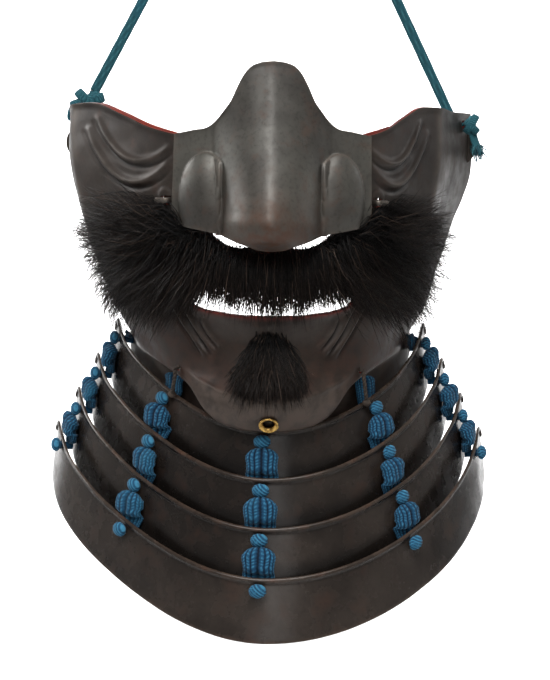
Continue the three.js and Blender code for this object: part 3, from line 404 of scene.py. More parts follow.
@dataclass(frozen=True)
class NoseForm:
    """The nose piece: the face's form with a ridge and two wings raised out of it."""

    face: FaceForm
    half_width: float = 38.6
    rise: float = 23.0
    wing_rise: float = 6.0
    thickness: float = 1.3
    wing_across: float = 26.5
    wing_down: float = 0.285
    wing_half_wide: float = 10.5
    wing_half_tall: float = 18.5
    wing_inner: float = 19.6
    wing_full: float = 0.7
    # out, top, low
    outline: Table = (
        (0.0, -0.127, 0.436), (0.145, -0.122, 0.434), (0.23, -0.11, 0.424), (0.3, -0.085, 0.417),
        (0.368, -0.045, 0.41), (0.414, -0.013, 0.404), (0.487, 0.019, 0.395), (0.575, 0.052, 0.386),
        (0.66, 0.071, 0.38), (0.8, 0.08, 0.372), (1.0, 0.093, 0.36),
    )
    # down, rise, half width of the arch, fullness
    profile: Table = (
        (-0.13, 0.1, 22, 1.5),
        (0.0, 0.3, 23.5, 1.35),
        (0.12, 0.52, 23.5, 1.1),
        (0.23, 0.76, 21.5, 0.85),
        (0.32, 0.95, 20.5, 0.72),
        (0.365, 0.98, 20.5, 0.7),
        (0.405, 0.82, 20, 0.72),
        (0.44, 0.45, 19, 0.8),
    )

    def stand_out(self, x: Array, z: Array, wing_edge: float) -> Array:
        """How far the nose stands out of the face, with the wings' inner edges as steep as wing_edge."""
        down = -z / self.face.height
        rise = self.rise * read_table(self.profile, 1, down)
        half = read_table(self.profile, 2, down)
        full = read_table(self.profile, 3, down)
        arch = rise * np.maximum(0, 1 - (x / half) ** 2) ** full
        wing_x = (np.abs(x) - self.wing_across) / self.wing_half_wide
        wing_z = (z + self.wing_down * self.face.height) / self.wing_half_tall
        lobe = self.wing_rise * np.maximum(0, 1 - wing_x**2 - wing_z**2) ** self.wing_full
        return arch + lobe * ease_step(self.wing_inner, self.wing_inner + wing_edge, np.abs(x))

    def point(self, around: Array, z: Array, wing_edge: float = 1.1) -> Array:
        """Points of the nose piece's outer surface."""
        points = self.face.lifted(around, z, np.array([SEAT_GAP + self.thickness]))
        points[:, 1] -= self.stand_out(points[:, 0], points[:, 2], wing_edge)
        return points


FACE = FaceForm()
NOSE = NoseForm(FACE)
LAMES = LameForm()
GUARD_SHIFT = np.array([0.0, -FACE.ear_hole(Side.LEFT)[0][1], -HANG_RISE])


def to_row(points: Array) -> Array:
    """Points of the guard's own frame in metres in the row's frame."""
    return (np.asarray(points, dtype=float) + GUARD_SHIFT) * 0.001


# Finishes


def linear(colour: str) -> tuple[float, ...]:
    """Turns an sRGB hex colour to linear light."""
    shares = [int(colour[i : i + 2], 16) / 255 for i in (1, 3, 5)]
    light = [s / 12.92 if s <= 0.04045 else ((s + 0.055) / 1.055) ** 2.4 for s in shares]
    return (*light, 1.0)


def add_node(
    tree: Nodes,
    kind: str,
    settings: dict[str, object] | None = None,
    links: dict[str, Socket] | None = None,
    output: str | None = None,
) -> Socket:
    """Adds a node with its settings and its links.

    Args:
        tree: The material's or the world's nodes.
        kind: Blender's name for the node.
        settings: Values of its properties, or of its inputs by their names.
        links: What its inputs are fed from, by their names.
        output: The output that is asked for.

    Returns:
        That output, or the node's first one in use.
    """
    made = tree.nodes.new(kind)
    for name, value in (settings or {}).items():
        if name in made.bl_rna.properties:
            setattr(made, name, value)
        else:
            next(s for s in made.inputs if s.name == name and s.enabled).default_value = value
    for name, source in (links or {}).items():
        tree.links.new(source, next(s for s in made.inputs if s.name == name and s.enabled))
    if not made.outputs:
        return made.inputs[0]
    return next(s for s in made.outputs if s.enabled and output in (None, s.name))


def mixed(tree: Nodes, share: Socket, low: Socket | str, high: Socket | str) -> Socket:
    """Mixes two colours, each a socket or a hex colour, by a share."""
    ends = {"A": low, "B": high}
    colours = {name: linear(end) for name, end in ends.items() if isinstance(end, str)}
    sources = {name: end for name, end in ends.items() if name not in colours}
    links = {"Factor": share, **sources}
    return add_node(tree, "ShaderNodeMix", {"data_type": "RGBA", **colours}, links, "Result")


def ranged(
    tree: Nodes, source: Socket, low: float, high: float, to_low: float = 0, to_high: float = 1
) -> Socket:
    """Maps a value's range softly to another one and holds it there."""
    settings = {
        "interpolation_type": "SMOOTHSTEP",
        "From Min": low,
        "From Max": high,
        "To Min": to_low,
        "To Max": to_high,
    }
    return add_node(tree, "ShaderNodeMapRange", settings, {"Value": source}, "Result")


def noise(tree: Nodes, size_mm: float, detail: float = 3.0, stretch: Triple = (1, 1, 1)) -> Socket:
    """A noise whose patches are about size_mm across on the object."""
    place = add_node(tree, "ShaderNodeTexCoord", output="Object")
    if stretch != (1, 1, 1):
        place = add_node(tree, "ShaderNodeMapping", {"Scale": stretch}, {"Vector": place})
    settings = {"Scale": 1000 / size_mm / 2, "Detail": detail, "Roughness": 0.6}
    return add_node(tree, "ShaderNodeTexNoise", settings, {"Vector": place})


def attribute(tree: Nodes, name: str) -> Socket:
    """Reads one of a piece's own values."""
    return add_node(tree, "ShaderNodeAttribute", {"attribute_name": name}, output="Fac")


@dataclass(frozen=True)
class Finish:
    """A material named for what it is and how its surface was made."""

    name: str

    def material(self) -> bpy.types.Material:
        """The finish's material, made the first time that it is asked for."""
        made = bpy.data.materials.get(self.name)
        if made is None:
            made = bpy.data.materials.new(self.name)
            made.use_nodes = True
            tree = made.node_tree
            tree.nodes.clear()
            add_node(tree, "ShaderNodeOutputMaterial", links={"Surface": self.surface(tree)})
        return made

    def surface(self, tree: Nodes) -> Socket:
        """Builds the shader and returns its output."""
        raise NotImplementedError


@dataclass(frozen=True)
class OldIron(Finish):
    """Hammered iron under an old dark coat: soft sheen, rust where the coat has gone, rubbed edges, painted
    highlights and shade.

    The piece's "worn" values lighten its rubbed edges and paint highlights and a reflection on its crests,
    bends and chin, its "grime" values paint shade into its grooves, recesses and gaps, its "stained" values
    brown it with rust, and its "lip" values redden the mouth's edge.
    """

    dark: str = "#211914"
    pale: str = "#38302a"
    rust: str = "#4c2f22"
    # colour of rubbed edges, also painted on as highlights and reflections
    rubbed_and_highlit: str = "#62584f"
    patch_mm: float = 26.0
    rust_from: float = 0.62
    metallic: float = 0.35
    glossy: float = 0.36
    dull: float = 0.52
    pit_mm: float = 1.6
    pit_deep: float = 0.1
    grain_mm: float = 0.8
    speck: str = "#171412"
    specked: float = 0.35
    specular: float = 0.5

    def surface(self, tree: Nodes) -> Socket:
        """Mixes the coat, the rust, the rubbed edges with their painted highlights and the painted shade, and
        adds the pits.
        """
        patches = noise(tree, self.patch_mm, 4)
        speckle = noise(tree, self.patch_mm / 9, 6)
        coat = mixed(tree, ranged(tree, patches, 0.38, 0.64), self.dark, self.pale)
        rust_place = noise(tree, self.patch_mm * 0.8, 8)
        rust_share = ranged(tree, rust_place, self.rust_from, self.rust_from + 0.16, 0, 0.85)
        rusty = mixed(tree, rust_share, coat, self.rust)
        speckled = mixed(tree, ranged(tree, speckle, 0.5, 0.75, 0, 0.3), rusty, self.rust)
        grain = noise(tree, self.grain_mm, 3)
        speckled = mixed(tree, ranged(tree, grain, 0.45, 0.75, 0, self.specked), speckled, self.speck)
        stain = self.patchy(tree, "stained", ranged(tree, speckle, 0.35, 0.6, 0.3, 1.0))
        speckled = mixed(tree, stain, speckled, self.rust)
        # rubbed edges, with painted highlights on crests and bends and a painted reflection under the chin
        rubbed_and_highlit_share = self.patchy(tree, "rubbed_and_highlit", ranged(tree, speckle, 0.3, 0.62, 0.25, 1.0))
        rubbed_and_highlit_colour = mixed(tree, rubbed_and_highlit_share, speckled, self.rubbed_and_highlit)
        rubbed_and_highlit_colour = mixed(tree, attribute(tree, "lip"), rubbed_and_highlit_colour, "#6e1d10")
        # painted shade: near-black in grooves, recesses and gaps, where the piece's shade values say
        painted_shade = ranged(tree, attribute(tree, "painted_shade"), 0, 1, 0, 0.8)
        colour = mixed(tree, painted_shade, rubbed_and_highlit_colour, "#0d0b0a")
        rough = ranged(tree, speckle, 0.3, 0.7, self.glossy, self.dull)
        pits = noise(tree, self.pit_mm, 5)
        dents = noise(tree, 11, 2)
        low = add_node(tree, "ShaderNodeBump", {"Strength": 0.5, "Distance": 0.0003}, {"Height": dents})
        bump = add_node(
            tree,
            "ShaderNodeBump",
            {"Strength": 0.55, "Distance": self.pit_deep * 0.001},
            {"Height": pits, "Normal": low},
        )
        return add_node(
            tree,
            "ShaderNodeBsdfPrincipled",
            {"Metallic": self.metallic, "Specular IOR Level": self.specular},
            {"Base Color": colour, "Roughness": rough, "Normal": bump},
        )

    def patchy(self, tree: Nodes, name: str, most: Socket) -> Socket:
        """One of the piece's values, times a share that varies over the surface."""
        links = {"Value": attribute(tree, name), "To Max": most}
        return add_node(tree, "ShaderNodeMapRange", {}, links, "Result")


@dataclass(frozen=True)
class RedLacquer(Finish):
    """Brushed red lacquer inside the plate: a deep warm red with a satin gloss, rubbed darker in patches."""

    fresh: str = "#8a2d1d"
    aged: str = "#4c140d"

    def surface(self, tree: Nodes) -> Socket:
        """Mixes the fresh and the aged red and adds faint brush marks."""
        patches = ranged(tree, noise(tree, 20, 5), 0.35, 0.68)
        colour = mixed(tree, patches, self.fresh, self.aged)
        rough = ranged(tree, noise(tree, 5, 4), 0.3, 0.7, 0.28, 0.46)
        marks = noise(tree, 3, 3, (1, 1, 0.2))
        bump = add_node(tree, "ShaderNodeBump", {"Strength": 0.3, "Distance": 0.0001}, {"Height": marks})
        return add_node(
            tree,
            "ShaderNodeBsdfPrincipled",
            {"Coat Weight": 0.15, "Coat Roughness": 0.25},
            {"Base Color": colour, "Roughness": rough, "Normal": bump},
        )


@dataclass(frozen=True)
class Braid(Finish):
    """Dyed silk or cotton, braided: matt, with painted highlight on the threads' crests and painted shade in
    the furrows.

    The piece's "crest" values run from 0 in a furrow to 1 on a thread and set that painted shade and highlight.
    """

    shade: str = "#07182a"
    mid: str = "#174564"
    light: str = "#3d7f9f"
    faded: str = "#275f78"
    thread_mm: float = 0.5  # drawn coarser than silk, whose threads are too fine for the picture

    def surface(self, tree: Nodes) -> Socket:
        """Mixes painted shade, the dye's mid tone and painted highlight by the threads' crests."""
        crest = attribute(tree, "crest")
        fibre = noise(tree, self.thread_mm, 4)
        low = mixed(tree, ranged(tree, crest, 0.05, 0.55), self.shade, self.mid)
        high = mixed(tree, ranged(tree, crest, 0.55, 1.0), low, self.light)
        threads = mixed(tree, ranged(tree, fibre, 0.45, 0.75, 0, 0.45), high, self.shade)
        colour = mixed(tree, ranged(tree, noise(tree, 14, 3), 0.5, 0.7, 0, 0.5), threads, self.faded)
        bump = add_node(tree, "ShaderNodeBump", {"Strength": 0.8, "Distance": 0.0002}, {"Height": fibre})
        return add_node(
            tree,
            "ShaderNodeBsdfPrincipled",
            {"Roughness": 0.9, "Specular IOR Level": 0.25, "Sheen Weight": 0.1, "Sheen Roughness": 0.4},
            {"Base Color": colour, "Normal": bump},
        )


@dataclass(frozen=True)
class Hair(Finish):
    """Coarse animal hair: nearly black at the roots, browner towards the tips, one hair in eight painted light
    as a glint.
    """

    root: str = "#030202"
    tip: str = "#1c1511"
    glint: str = "#463931"

    def surface(self, tree: Nodes) -> Socket:
        """Lightens each hair towards its tip, and paints a few hairs lighter as glints by their own chance."""
        along = ranged(tree, attribute(tree, "along"), 0.2, 1.0)
        length = mixed(tree, along, self.root, self.tip)
        chance = ranged(tree, attribute(tree, "shade"), 0.86, 1.0)
        colour = mixed(tree, chance, length, self.glint)
        settings = {"Roughness": 0.5, "Specular IOR Level": 0.2}
        return add_node(tree, "ShaderNodeBsdfPrincipled", settings, {"Base Color": colour})


@dataclass(frozen=True)
class TurnedBrass(Finish):
    """Polished brass, a little tarnished: warm bright rims, brown tarnish in patches, and painted shade in the
    low places.
    """

    bright: str = "#d9b064"
    tarnish: str = "#8c6432"

    def surface(self, tree: Nodes) -> Socket:
        """Mixes the bright metal and its tarnish, and darkens it with painted shade."""
        patches = ranged(tree, noise(tree, 1.6, 4), 0.45, 0.75, 0, 0.7)
        metal = mixed(tree, patches, self.bright, self.tarnish)
        # painted shade: near-black inside the tube
        colour = mixed(tree, attribute(tree, "painted_shade"), metal, "#120c06")
        rough = ranged(tree, noise(tree, 0.8, 3), 0.3, 0.7, 0.2, 0.38)
        links = {"Base Color": colour, "Roughness": rough}
        return add_node(tree, "ShaderNodeBsdfPrincipled", {"Metallic": 1.0}, links)


@dataclass(frozen=True)
class TwistedHide(Finish):
    """Twisted hide thong: dull grey-brown with a dry grain."""

    mid: str = "#4c4036"
    shade: str = "#2a221c"

    def surface(self, tree: Nodes) -> Socket:
        """Mixes two browns along the grain."""
        grain = noise(tree, 0.9, 5)
        colour = mixed(tree, ranged(tree, grain, 0.35, 0.7), self.shade, self.mid)
        bump = add_node(tree, "ShaderNodeBump", {"Strength": 0.6, "Distance": 0.0001}, {"Height": grain})
        links = {"Base Color": colour, "Normal": bump}
        return add_node(tree, "ShaderNodeBsdfPrincipled", {"Roughness": 0.8}, links)


@dataclass(frozen=True)
class PaleFloor(Finish):
    """Plain matt studio paper."""

    colour: str = "#f4f4f4"

    def surface(self, tree: Nodes) -> Socket:
        """One matt colour."""
        return add_node(tree, "ShaderNodeBsdfPrincipled", {"Base Color": linear(self.colour), "Roughness": 1.0})


RUSSET_IRON = OldIron("hammered russet iron, brown-black coat")
NOSE_IRON = OldIron(
    "hammered russet iron, rubbed grey", dark="#3d3a36", pale="#56544e", rust="#573420", rust_from=0.74
)
LAME_LACQUER = OldIron(
    "brown-black lacquer on iron",
    dark="#201b18",
    pale="#39322d",
    rust="#4a3024",
    rubbed_and_highlit="#5d4a3d",
    patch_mm=40.0,
    rust_from=0.74,
    metallic=0.1,
    glossy=0.2,
    dull=0.33,
    pit_deep=0.03,
    specular=0.32,
)
PIN_IRON = OldIron(
    "forged iron pin, worn bright", dark="#4a4642", pale="#76716b", rust="#4e3a2d", metallic=0.8, patch_mm=4
)
RED_LACQUER = RedLacquer("red lacquer, brushed")
LACE_BRAID = Braid("blue silk braid")
CORD_BRAID = Braid("teal flat woven cord", shade="#0c2730", mid="#23525c", light="#437f86", faded="#1d5468")
GUARD_HAIR = Hair("coarse brown-black hair")
BRASS = TurnedBrass("turned brass, tarnished")
HIDE = TwistedHide("twisted hide thong")
PAPER = PaleFloor("matt studio paper")


# Pieces


def placed(name: str, data: bpy.types.ID) -> Piece:
    """Puts an object with its data in the scene."""
    made = bpy.data.objects.new(name, data)
    bpy.context.collection.objects.link(made)
    return made


def add_piece(name: str, mesh: Mesh, replaced: Sequence[str]) -> Piece:
    """Shows a mesh as a piece of the guard.

    Args:
        name: The piece's name.
        mesh: Its mesh, in the row's frame, with its materials.
        replaced: The CAD nodes that it stands for.

    Returns:
        The piece, riding on the guard's one body.
    """
    mesh.name = name
    for face in mesh.polygons:
        face.use_smooth = True
    piece = placed(name, mesh)
    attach(piece, "root")
    if replaced:
        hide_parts(*replaced)
    log.info("%s: %d faces, for %s", name, len(mesh.polygons), ", ".join(replaced) or "no node")
    return piece


def mesh_of(bm: BMesh, finishes: Sequence[Finish]) -> Mesh:
    """Turns a bmesh of the guard's frame into a mesh of the row's frame with its materials."""
    bmesh.ops.translate(bm, vec=Vector(GUARD_SHIFT), verts=bm.verts)
    bmesh.ops.scale(bm, vec=Vector((0.001,) * 3), verts=bm.verts)
    mesh = bpy.data.meshes.new("mesh")
    bm.to_mesh(mesh)
    bm.free()
    for finish in finishes:
        mesh.materials.append(finish.material())
    return mesh


def plated(mesh: Mesh, thickness: float, edge_radius: float, inner_finish: int) -> Mesh:
    """Gives a sheet its wall inwards and rounds the wall's edges.

    Args:
        mesh: The outer surface, in metres.
        thickness: The wall, in millimetres.
        edge_radius: The edges' rounding, in millimetres.
        inner_finish: The material index of the inner side, counted from the outer one.

    Returns:
        The closed plate's mesh.
    """
    bm = bmesh.new()
    bm.from_mesh(mesh)
    rounded = bm.edges.layers.float.new("bevel_weight_edge")
    for rim in bm.edges:
        rim[rounded] = float(rim.is_boundary)
    bm.to_mesh(mesh)
    bm.free()
    sheet = placed("sheet", mesh)
    wall = sheet.modifiers.new("wall", "SOLIDIFY")
    wall.thickness = thickness * 0.001
    wall.offset = -1
    wall.use_even_offset = False
    wall.material_offset = inner_finish
    wall.material_offset_rim = inner_finish
    edge = sheet.modifiers.new("edge", "BEVEL")
    edge.limit_method = "WEIGHT"
    edge.width = edge_radius * 0.001
    edge.segments = 2
    edge.use_clamp_overlap = True
    graph = bpy.context.evaluated_depsgraph_get()
    shown = sheet.evaluated_get(graph)
    made = bpy.data.meshes.new_from_object(shown, preserve_all_data_layers=True, depsgraph=graph)
    bpy.data.objects.remove(sheet)
    return made


def flat_sheet(columns: Sequence[float], rows: Sequence[float]) -> BMesh:
    """A flat grid with its columns and rows at given places, its front towards +Z."""
    bm = bmesh.new()
    bm.loops.layers.uv.new("UVMap")
    bmesh.ops.create_grid(bm, x_segments=len(columns) - 1, y_segments=len(rows) - 1, size=1, calc_uvs=True)
    for vertex in bm.verts:
        column = round((vertex.co.x + 1) / 2 * (len(columns) - 1))
        row = round((vertex.co.y + 1) / 2 * (len(rows) - 1))
        vertex.co = (columns[column], rows[row], 0)
    return bm


def places_of(bm: BMesh) -> Array:
    """The vertices' places as rows of an array."""
    return np.array([v.co[:] for v in bm.verts])


def move_to(bm: BMesh, points: Array) -> None:
    """Moves every vertex to its own point."""
    for vertex, point in zip(bm.verts, points):
        vertex.co = point


def store(bm: BMesh, name: str, values: Array) -> None:
    """Keeps one value for each vertex under a name that a material reads."""
    layer = bm.verts.layers.float.get(name) or bm.verts.layers.float.new(name)
    for vertex, value in zip(bm.verts, values):
        vertex[layer] = float(value)


def stored(bm: BMesh, name: str) -> Array:
    """The values kept under a name."""
    layer = bm.verts.layers.float[name]
    return np.array([vertex[layer] for vertex in bm.verts])


def cut_opening(bm: BMesh, outline: Array) -> None:
    """Cuts an opening out of a flat sheet. The cells round it close up to its line."""
    centres = np.array([face.calc_center_median()[:2] for face in bm.faces])
    gone = [face for face, inside in zip(bm.faces, inside_outline(outline, centres)) if inside]
    rim = {vertex for face in gone for vertex in face.verts}
    bmesh.ops.delete(bm, geom=gone, context="FACES")
    rim = [vertex for vertex in rim if vertex.is_valid]
    if not rim:
        return
    nearest, _, _ = nearest_on_line(outline, np.array([v.co[:2] for v in rim]), closed=True)
    for vertex, place in zip(rim, nearest):
        vertex.co.xy = place


def swept(
    path: Array,
    wide: Array | float,
    thick: Array | float,
    wide_way: Array,
    sides: int,
    relief: Callable[[Array, Array], tuple[Array, Array]] | None = None,
    square: float = 1.0,
) -> BMesh:
    """Rolls a flat grid up round a path into a closed tube.

    Args:
        path: The tube's middle line.
        wide: Its width, one for all points or one for each.
        thick: Its thickness, given alike.
        wide_way: The way of its width, given alike.
        sides: How many faces go round it.
        relief: Gives how far each vertex is raised and its crest, from its turn, 0 to 1, and its place along.
        square: The section's fullness: 1 is an ellipse, less is squarer.

    Returns:
        The tube, its "crest" values stored.
    """
    count = len(path)
    wide, thick = np.broadcast_to(wide, count), np.broadcast_to(thick, count)
    bm = flat_sheet(np.linspace(0, 1, sides + 1), np.arange(count, dtype=float))
    places = places_of(bm)
    turn, row = places[:, 0], places[:, 1].round().astype(int)
    along = unit(np.gradient(path, axis=0))
    across = unit(wide_way - (wide_way * along).sum(axis=1, keepdims=True) * along)
    thick_way = np.cross(along, across)
    angle = turn * 2 * math.pi
    u = np.sign(np.cos(angle)) * np.abs(np.cos(angle)) ** square
    v = np.sign(np.sin(angle)) * np.abs(np.sin(angle)) ** square
    half_wide, half_thick = wide[row] / 2, thick[row] / 2
    spoke = across[row] * (u * half_wide)[:, None] + thick_way[row] * (v * half_thick)[:, None]
    lengths = np.concatenate([[0.0], np.cumsum(np.linalg.norm(np.diff(path, axis=0), axis=1))])
    raised, crest = relief(turn, lengths[row]) if relief else (np.zeros(len(turn)), np.full(len(turn), 0.6))
    facing = unit(across[row] * (u * half_thick)[:, None] + thick_way[row] * (v * half_wide)[:, None])
    move_to(bm, path[row] + spoke + facing * raised[:, None])
    store(bm, "crest", crest)
    bmesh.ops.remove_doubles(bm, verts=bm.verts, dist=1e-5)
    bmesh.ops.holes_fill(bm, edges=bm.edges, sides=0)
    bmesh.ops.recalc_face_normals(bm, faces=bm.faces)
    return bm


def merged(parts: Sequence[BMesh]) -> BMesh:
    """Puts several meshes of one frame together as one."""
    whole = bmesh.new()
    for part in parts:
        mesh = bpy.data.meshes.new("part")
        part.to_mesh(mesh)
        part.free()
        whole.from_mesh(mesh)
        bpy.data.meshes.remove(mesh)
    return whole


def ball(
    centre: Array, ways: Sequence[Array], halves: Sequence[float], relief: Callable[[Array], Array]
) -> BMesh:
    """A stretched ball with a raised pattern.

    Args:
        centre: Its middle.
        ways: Its own three directions.
        halves: Half its size along each of them.
        relief: Gives each point's crest from 0 to 1, from its place on a ball of radius 1.

    Returns:
        The ball, its "crest" values stored.
    """
    bm = bmesh.new()
    bmesh.ops.create_uvsphere(bm, u_segments=28, v_segments=18, radius=1)
    local = places_of(bm)
    crest = relief(local)
    shaped = local * (1 + 0.1 * (crest - 0.5))[:, None]
    basis = np.stack([way * half for way, half in zip(ways, halves)])
    move_to(bm, centre + shaped @ basis)
    store(bm, "crest", crest)
    bmesh.ops.recalc_face_normals(bm, faces=bm.faces)
    return bm


def knot_turns(across: float, up: float) -> Callable[[Array], Array]:
    """A ball's relief of slanting turns, as many as the two numbers say; on braid it also sets painted
    highlight and shade.
    """
    return lambda local: np.abs(np.sin(across * local[:, 0] + up * local[:, 2]))


def strands_mesh(paths: Array, radii: Array, shade: Array, finish: Finish) -> Mesh:
    """Thin three-sided hairs along many paths, as one mesh.

    Args:
        paths: Points of each hair in the guard's frame, root first.
        radii: The hair's radius at each point but the last, which is its tip.
        shade: Each hair's own chance from 0 to 1.
        finish: The hairs' finish.

    Returns:
        The mesh, with "along" and "shade" values.
    """
    count, stations, _ = paths.shape
    along = unit(np.gradient(paths, axis=1))
    helper = unit(np.cross(along, np.array([0.31, 0.17, 0.93])))
    second = np.cross(along, helper)
    turns = np.arange(3) * 2 * math.pi / 3
    ring = helper[:, :, None] * np.cos(turns)[:, None] + second[:, :, None] * np.sin(turns)[:, None]
    rings = paths[:, :-1, None] + ring[:, :-1] * radii[:, :, None, None]
    body = rings.reshape(count, -1, 3)
    points = np.concatenate([body, paths[:, -1:]], axis=1)
    per = points.shape[1]
    faces = [[0, 2, 1]]
    for station in range(stations - 2):
        for side in range(3):
            a, b = station * 3 + side, station * 3 + (side + 1) % 3
            faces.append([a, b, b + 3, a + 3])
    last = (stations - 2) * 3
    faces.extend([[last + side, last + (side + 1) % 3, per - 1] for side in range(3)])
    starts = np.arange(count) * per
    quads = [np.array(face)[None, :] + starts[:, None] for face in faces]
    mesh = bpy.data.meshes.new("strands")
    mesh.from_pydata(to_row(points.reshape(-1, 3)).tolist(), [], [f for block in quads for f in block.tolist()])
    share = np.append(np.repeat(np.linspace(0, 1, stations)[:-1], 3), 1.0)
    values = {"along": np.tile(share, count), "shade": np.repeat(shade, per)}
    for name, value in values.items():
        mesh.attributes.new(name, "FLOAT", "POINT").data.foreach_set("value", value.astype(np.float32))
    mesh.materials.append(finish.material())
    mesh.update()
    return mesh


# Face plate


@dataclass(frozen=True)
class Wrinkle:
    """A raised crescent of the face with a groove under it, its path in shares round and down."""

    start: tuple[float, float]
    middle: tuple[float, float]
    end: tuple[float, float]
    wide: float
    high: float
    groove: float

    def line(self, side: Side) -> Array:
        """The crest's path on the plate laid flat."""
        start, middle, end = (np.array(p) for p in (self.start, self.middle, self.end))
        bend = 2 * middle - (start + end) / 2
        t = np.linspace(0, 1, 28)[:, None]
        shares = start * (1 - t) ** 2 + bend * 2 * t * (1 - t) + end * t**2
        return shares * np.array([side.value * FACE.sheet_half, -FACE.height])


@dataclass(frozen=True)
class FacePlate:
    """The plate of cheeks, lips, chin and neck flange, cut flat and then formed."""

    edge_radius: float = 0.35
    column_step: float = 0.95
    row_step: float = 1.0
    dense_to: float = 0.72  # how far round the columns lie closer together
    mouth_half: float = 33.0
    mouth_tall: float = 17.0
    mouth_down: float = 0.64
    lip_roll: float = 1.1
    top_roll: float = 0.45
    notch_half: float = 29.0
    # out, down
    notch: Table = (
        (0.0, 0.4), (0.24, 0.425), (0.34, 0.432), (0.55, 0.428),
        (0.72, 0.41), (0.86, 0.382), (1.0, 0.32),
    )
    ear_hole_radius: float = 2.3
    drain_radius: float = 3.05
    thong_hole: float = 1.25
    boss_radius: float = 3.3
    flange_cover: float = 11.0
    lobe_radius: float = 8.0
    lobe_drop: float = 15.0
    lobe_in: float = 4.0  # how far its middle lies inside the back edge
    bend_at: float = 0.668
    bend_half: float = 1.6
    bend_wide: float = 20.0
    bend_high: float = 2.4
    crease_down: float = 0.895
    crease_high: float = 1.5
    marks: HammerMarks = HammerMarks()
    cheek_wrinkles: tuple[Wrinkle, ...] = (
        Wrinkle((0.33, 0.132), (0.455, 0.168), (0.565, 0.04), 4.2, 1.5, 0.9),
        Wrinkle((0.335, 0.185), (0.475, 0.232), (0.6, 0.075), 4.6, 1.5, 0.9),
    )
    mouth_wrinkles: tuple[Wrinkle, ...] = (
        Wrinkle((0.235, 0.645), (0.215, 0.69), (0.175, 0.735), 3.8, 1.1, 0.9),
        Wrinkle((0.3, 0.615), (0.255, 0.685), (0.2, 0.755), 4.0, 1.3, 1.0),
        Wrinkle((0.36, 0.6), (0.3, 0.68), (0.235, 0.765), 4.0, 1.3, 1.0),
    )

    def build(self) -> Piece:
        """Cuts, forms and thickens the plate, and shows it."""
        bm = self.sheet()
        for outline in self.openings():
            cut_opening(bm, outline)
        self.form(bm)
        mesh = plated(mesh_of(bm, [RUSSET_IRON, RED_LACQUER]), FACE.thickness, self.edge_radius, 1)
        extra = [part for side in Side for part in (self.lobe(side), self.red_edge(side))]
        return add_piece("face_plate_formed", self.joined(mesh, extra), ["face_plate"])

    def red_edge(self, side: Side) -> BMesh:
        """The red inner lip that shows above the cheek's edge beside the nose."""
        around = side.value * np.linspace(0.27, 0.56 if side is Side.LEFT else 0.42, 40)
        level = FACE.top_z(around)
        path = FACE.lifted(around, level + 0.1, -FACE.thickness * 0.62)
        swell = np.sin(math.pi * np.linspace(0.03, 0.97, len(path))) ** 0.5
        bm = swept(path, 2.6 * swell, 0.8 * swell, np.array([0, 0, 1.0]), 10)
        for face in bm.faces:
            face.material_index = 1
        return bm

    def joined(self, mesh: Mesh, parts: Sequence[BMesh]) -> Mesh:
        """Adds small parts to the plate's mesh."""
        whole = bmesh.new()
        whole.from_mesh(mesh)
        extra = mesh_of(merged(parts), [])
        whole.from_mesh(extra)
        whole.to_mesh(mesh)
        whole.free()
        return mesh

    def sheet(self) -> BMesh:
        """The plate laid flat: its face down to the jaw, then the underside and the neck flange."""
        half, dense = FACE.sheet_half, self.dense_to
        inner = np.linspace(0, dense, round(dense * half / self.column_step) + 1)
        outer = np.linspace(dense, 1, round((1 - dense) * half / (1.6 * self.column_step)) + 1)[1:]
        right = np.concatenate([inner, outer])
        columns = np.concatenate([-right[::-1], right[1:]])
        rows_face = np.linspace(0, 1, round(FACE.height / self.row_step) + 1)
        beyond = 1 + np.array([0.1, 0.2, 0.26, 0.35, 0.45, 0.6, 0.7, 0.8])
        rows = np.concatenate([-beyond[::-1], -rows_face[::-1]])
        bm = flat_sheet(columns * half, rows)
        places = places_of(bm)
        around, share = places[:, 0] / half, -places[:, 1]
        top, jaw = FACE.top_z(around), FACE.jaw_z(around)
        level = top + (jaw - top) * np.minimum(share, 1) - np.maximum(share - 1, 0) * 10
        store(bm, "share", share)
        move_to(bm, np.stack([places[:, 0], level, np.zeros(len(level))], axis=1))
        return bm

    def openings(self) -> list[Array]:
        """The outlines of the mouth, the notch and the small holes on the plate laid flat."""
        holes = [FACE.flat_of(self.mouth_outline()), FACE.flat_of(self.notch_outline())]
        holes.append(self.round_hole(0.0, -FACE.drain_down * FACE.height, self.drain_radius))
        for side in Side:
            ear_z = float(FACE.top_z(FACE.ear_around)[0]) - FACE.ear_drop
            holes.append(self.round_hole(side.value * FACE.ear_around, ear_z, self.ear_hole_radius))
            thong_z = float(FACE.jaw_z(FACE.thong_around)[0]) + FACE.thong_rise
            holes.append(self.round_hole(side.value * FACE.thong_around, thong_z, self.thong_hole))
            holes.append(FACE.flat_of(NosePins().slot_corners(side)))
        return holes

    def mouth_outline(self) -> Array:
        """The mouth seen from the front: a crescent with a flat upper edge."""
        low = -self.mouth_down * FACE.height
        turn = np.linspace(math.pi, 2 * math.pi, 41)
        round_share = np.abs(np.sin(turn)) ** 0.62
        lower = np.stack([self.mouth_half * np.cos(turn), low + 7.5 - 7.5 * round_share], axis=1)
        share = np.linspace(1, -1, 21)
        upper = np.stack([self.mouth_half * 0.9 * share, low + self.mouth_tall - 7.5 * share**2], axis=1)
        return np.concatenate([lower, upper])

    def notch_outline(self) -> Array:
        """The notch behind the nose seen from the front, open at the top."""
        out = np.linspace(0, 1, 25)
        right = np.stack([out * self.notch_half, -FACE.height * read_table(self.notch, 1, out)], axis=1)
        corners = np.array([[self.notch_half, 12.0], [-self.notch_half, 12.0]])
        left = right[:0:-1] * np.array([-1, 1])
        return np.concatenate([right, corners, left])

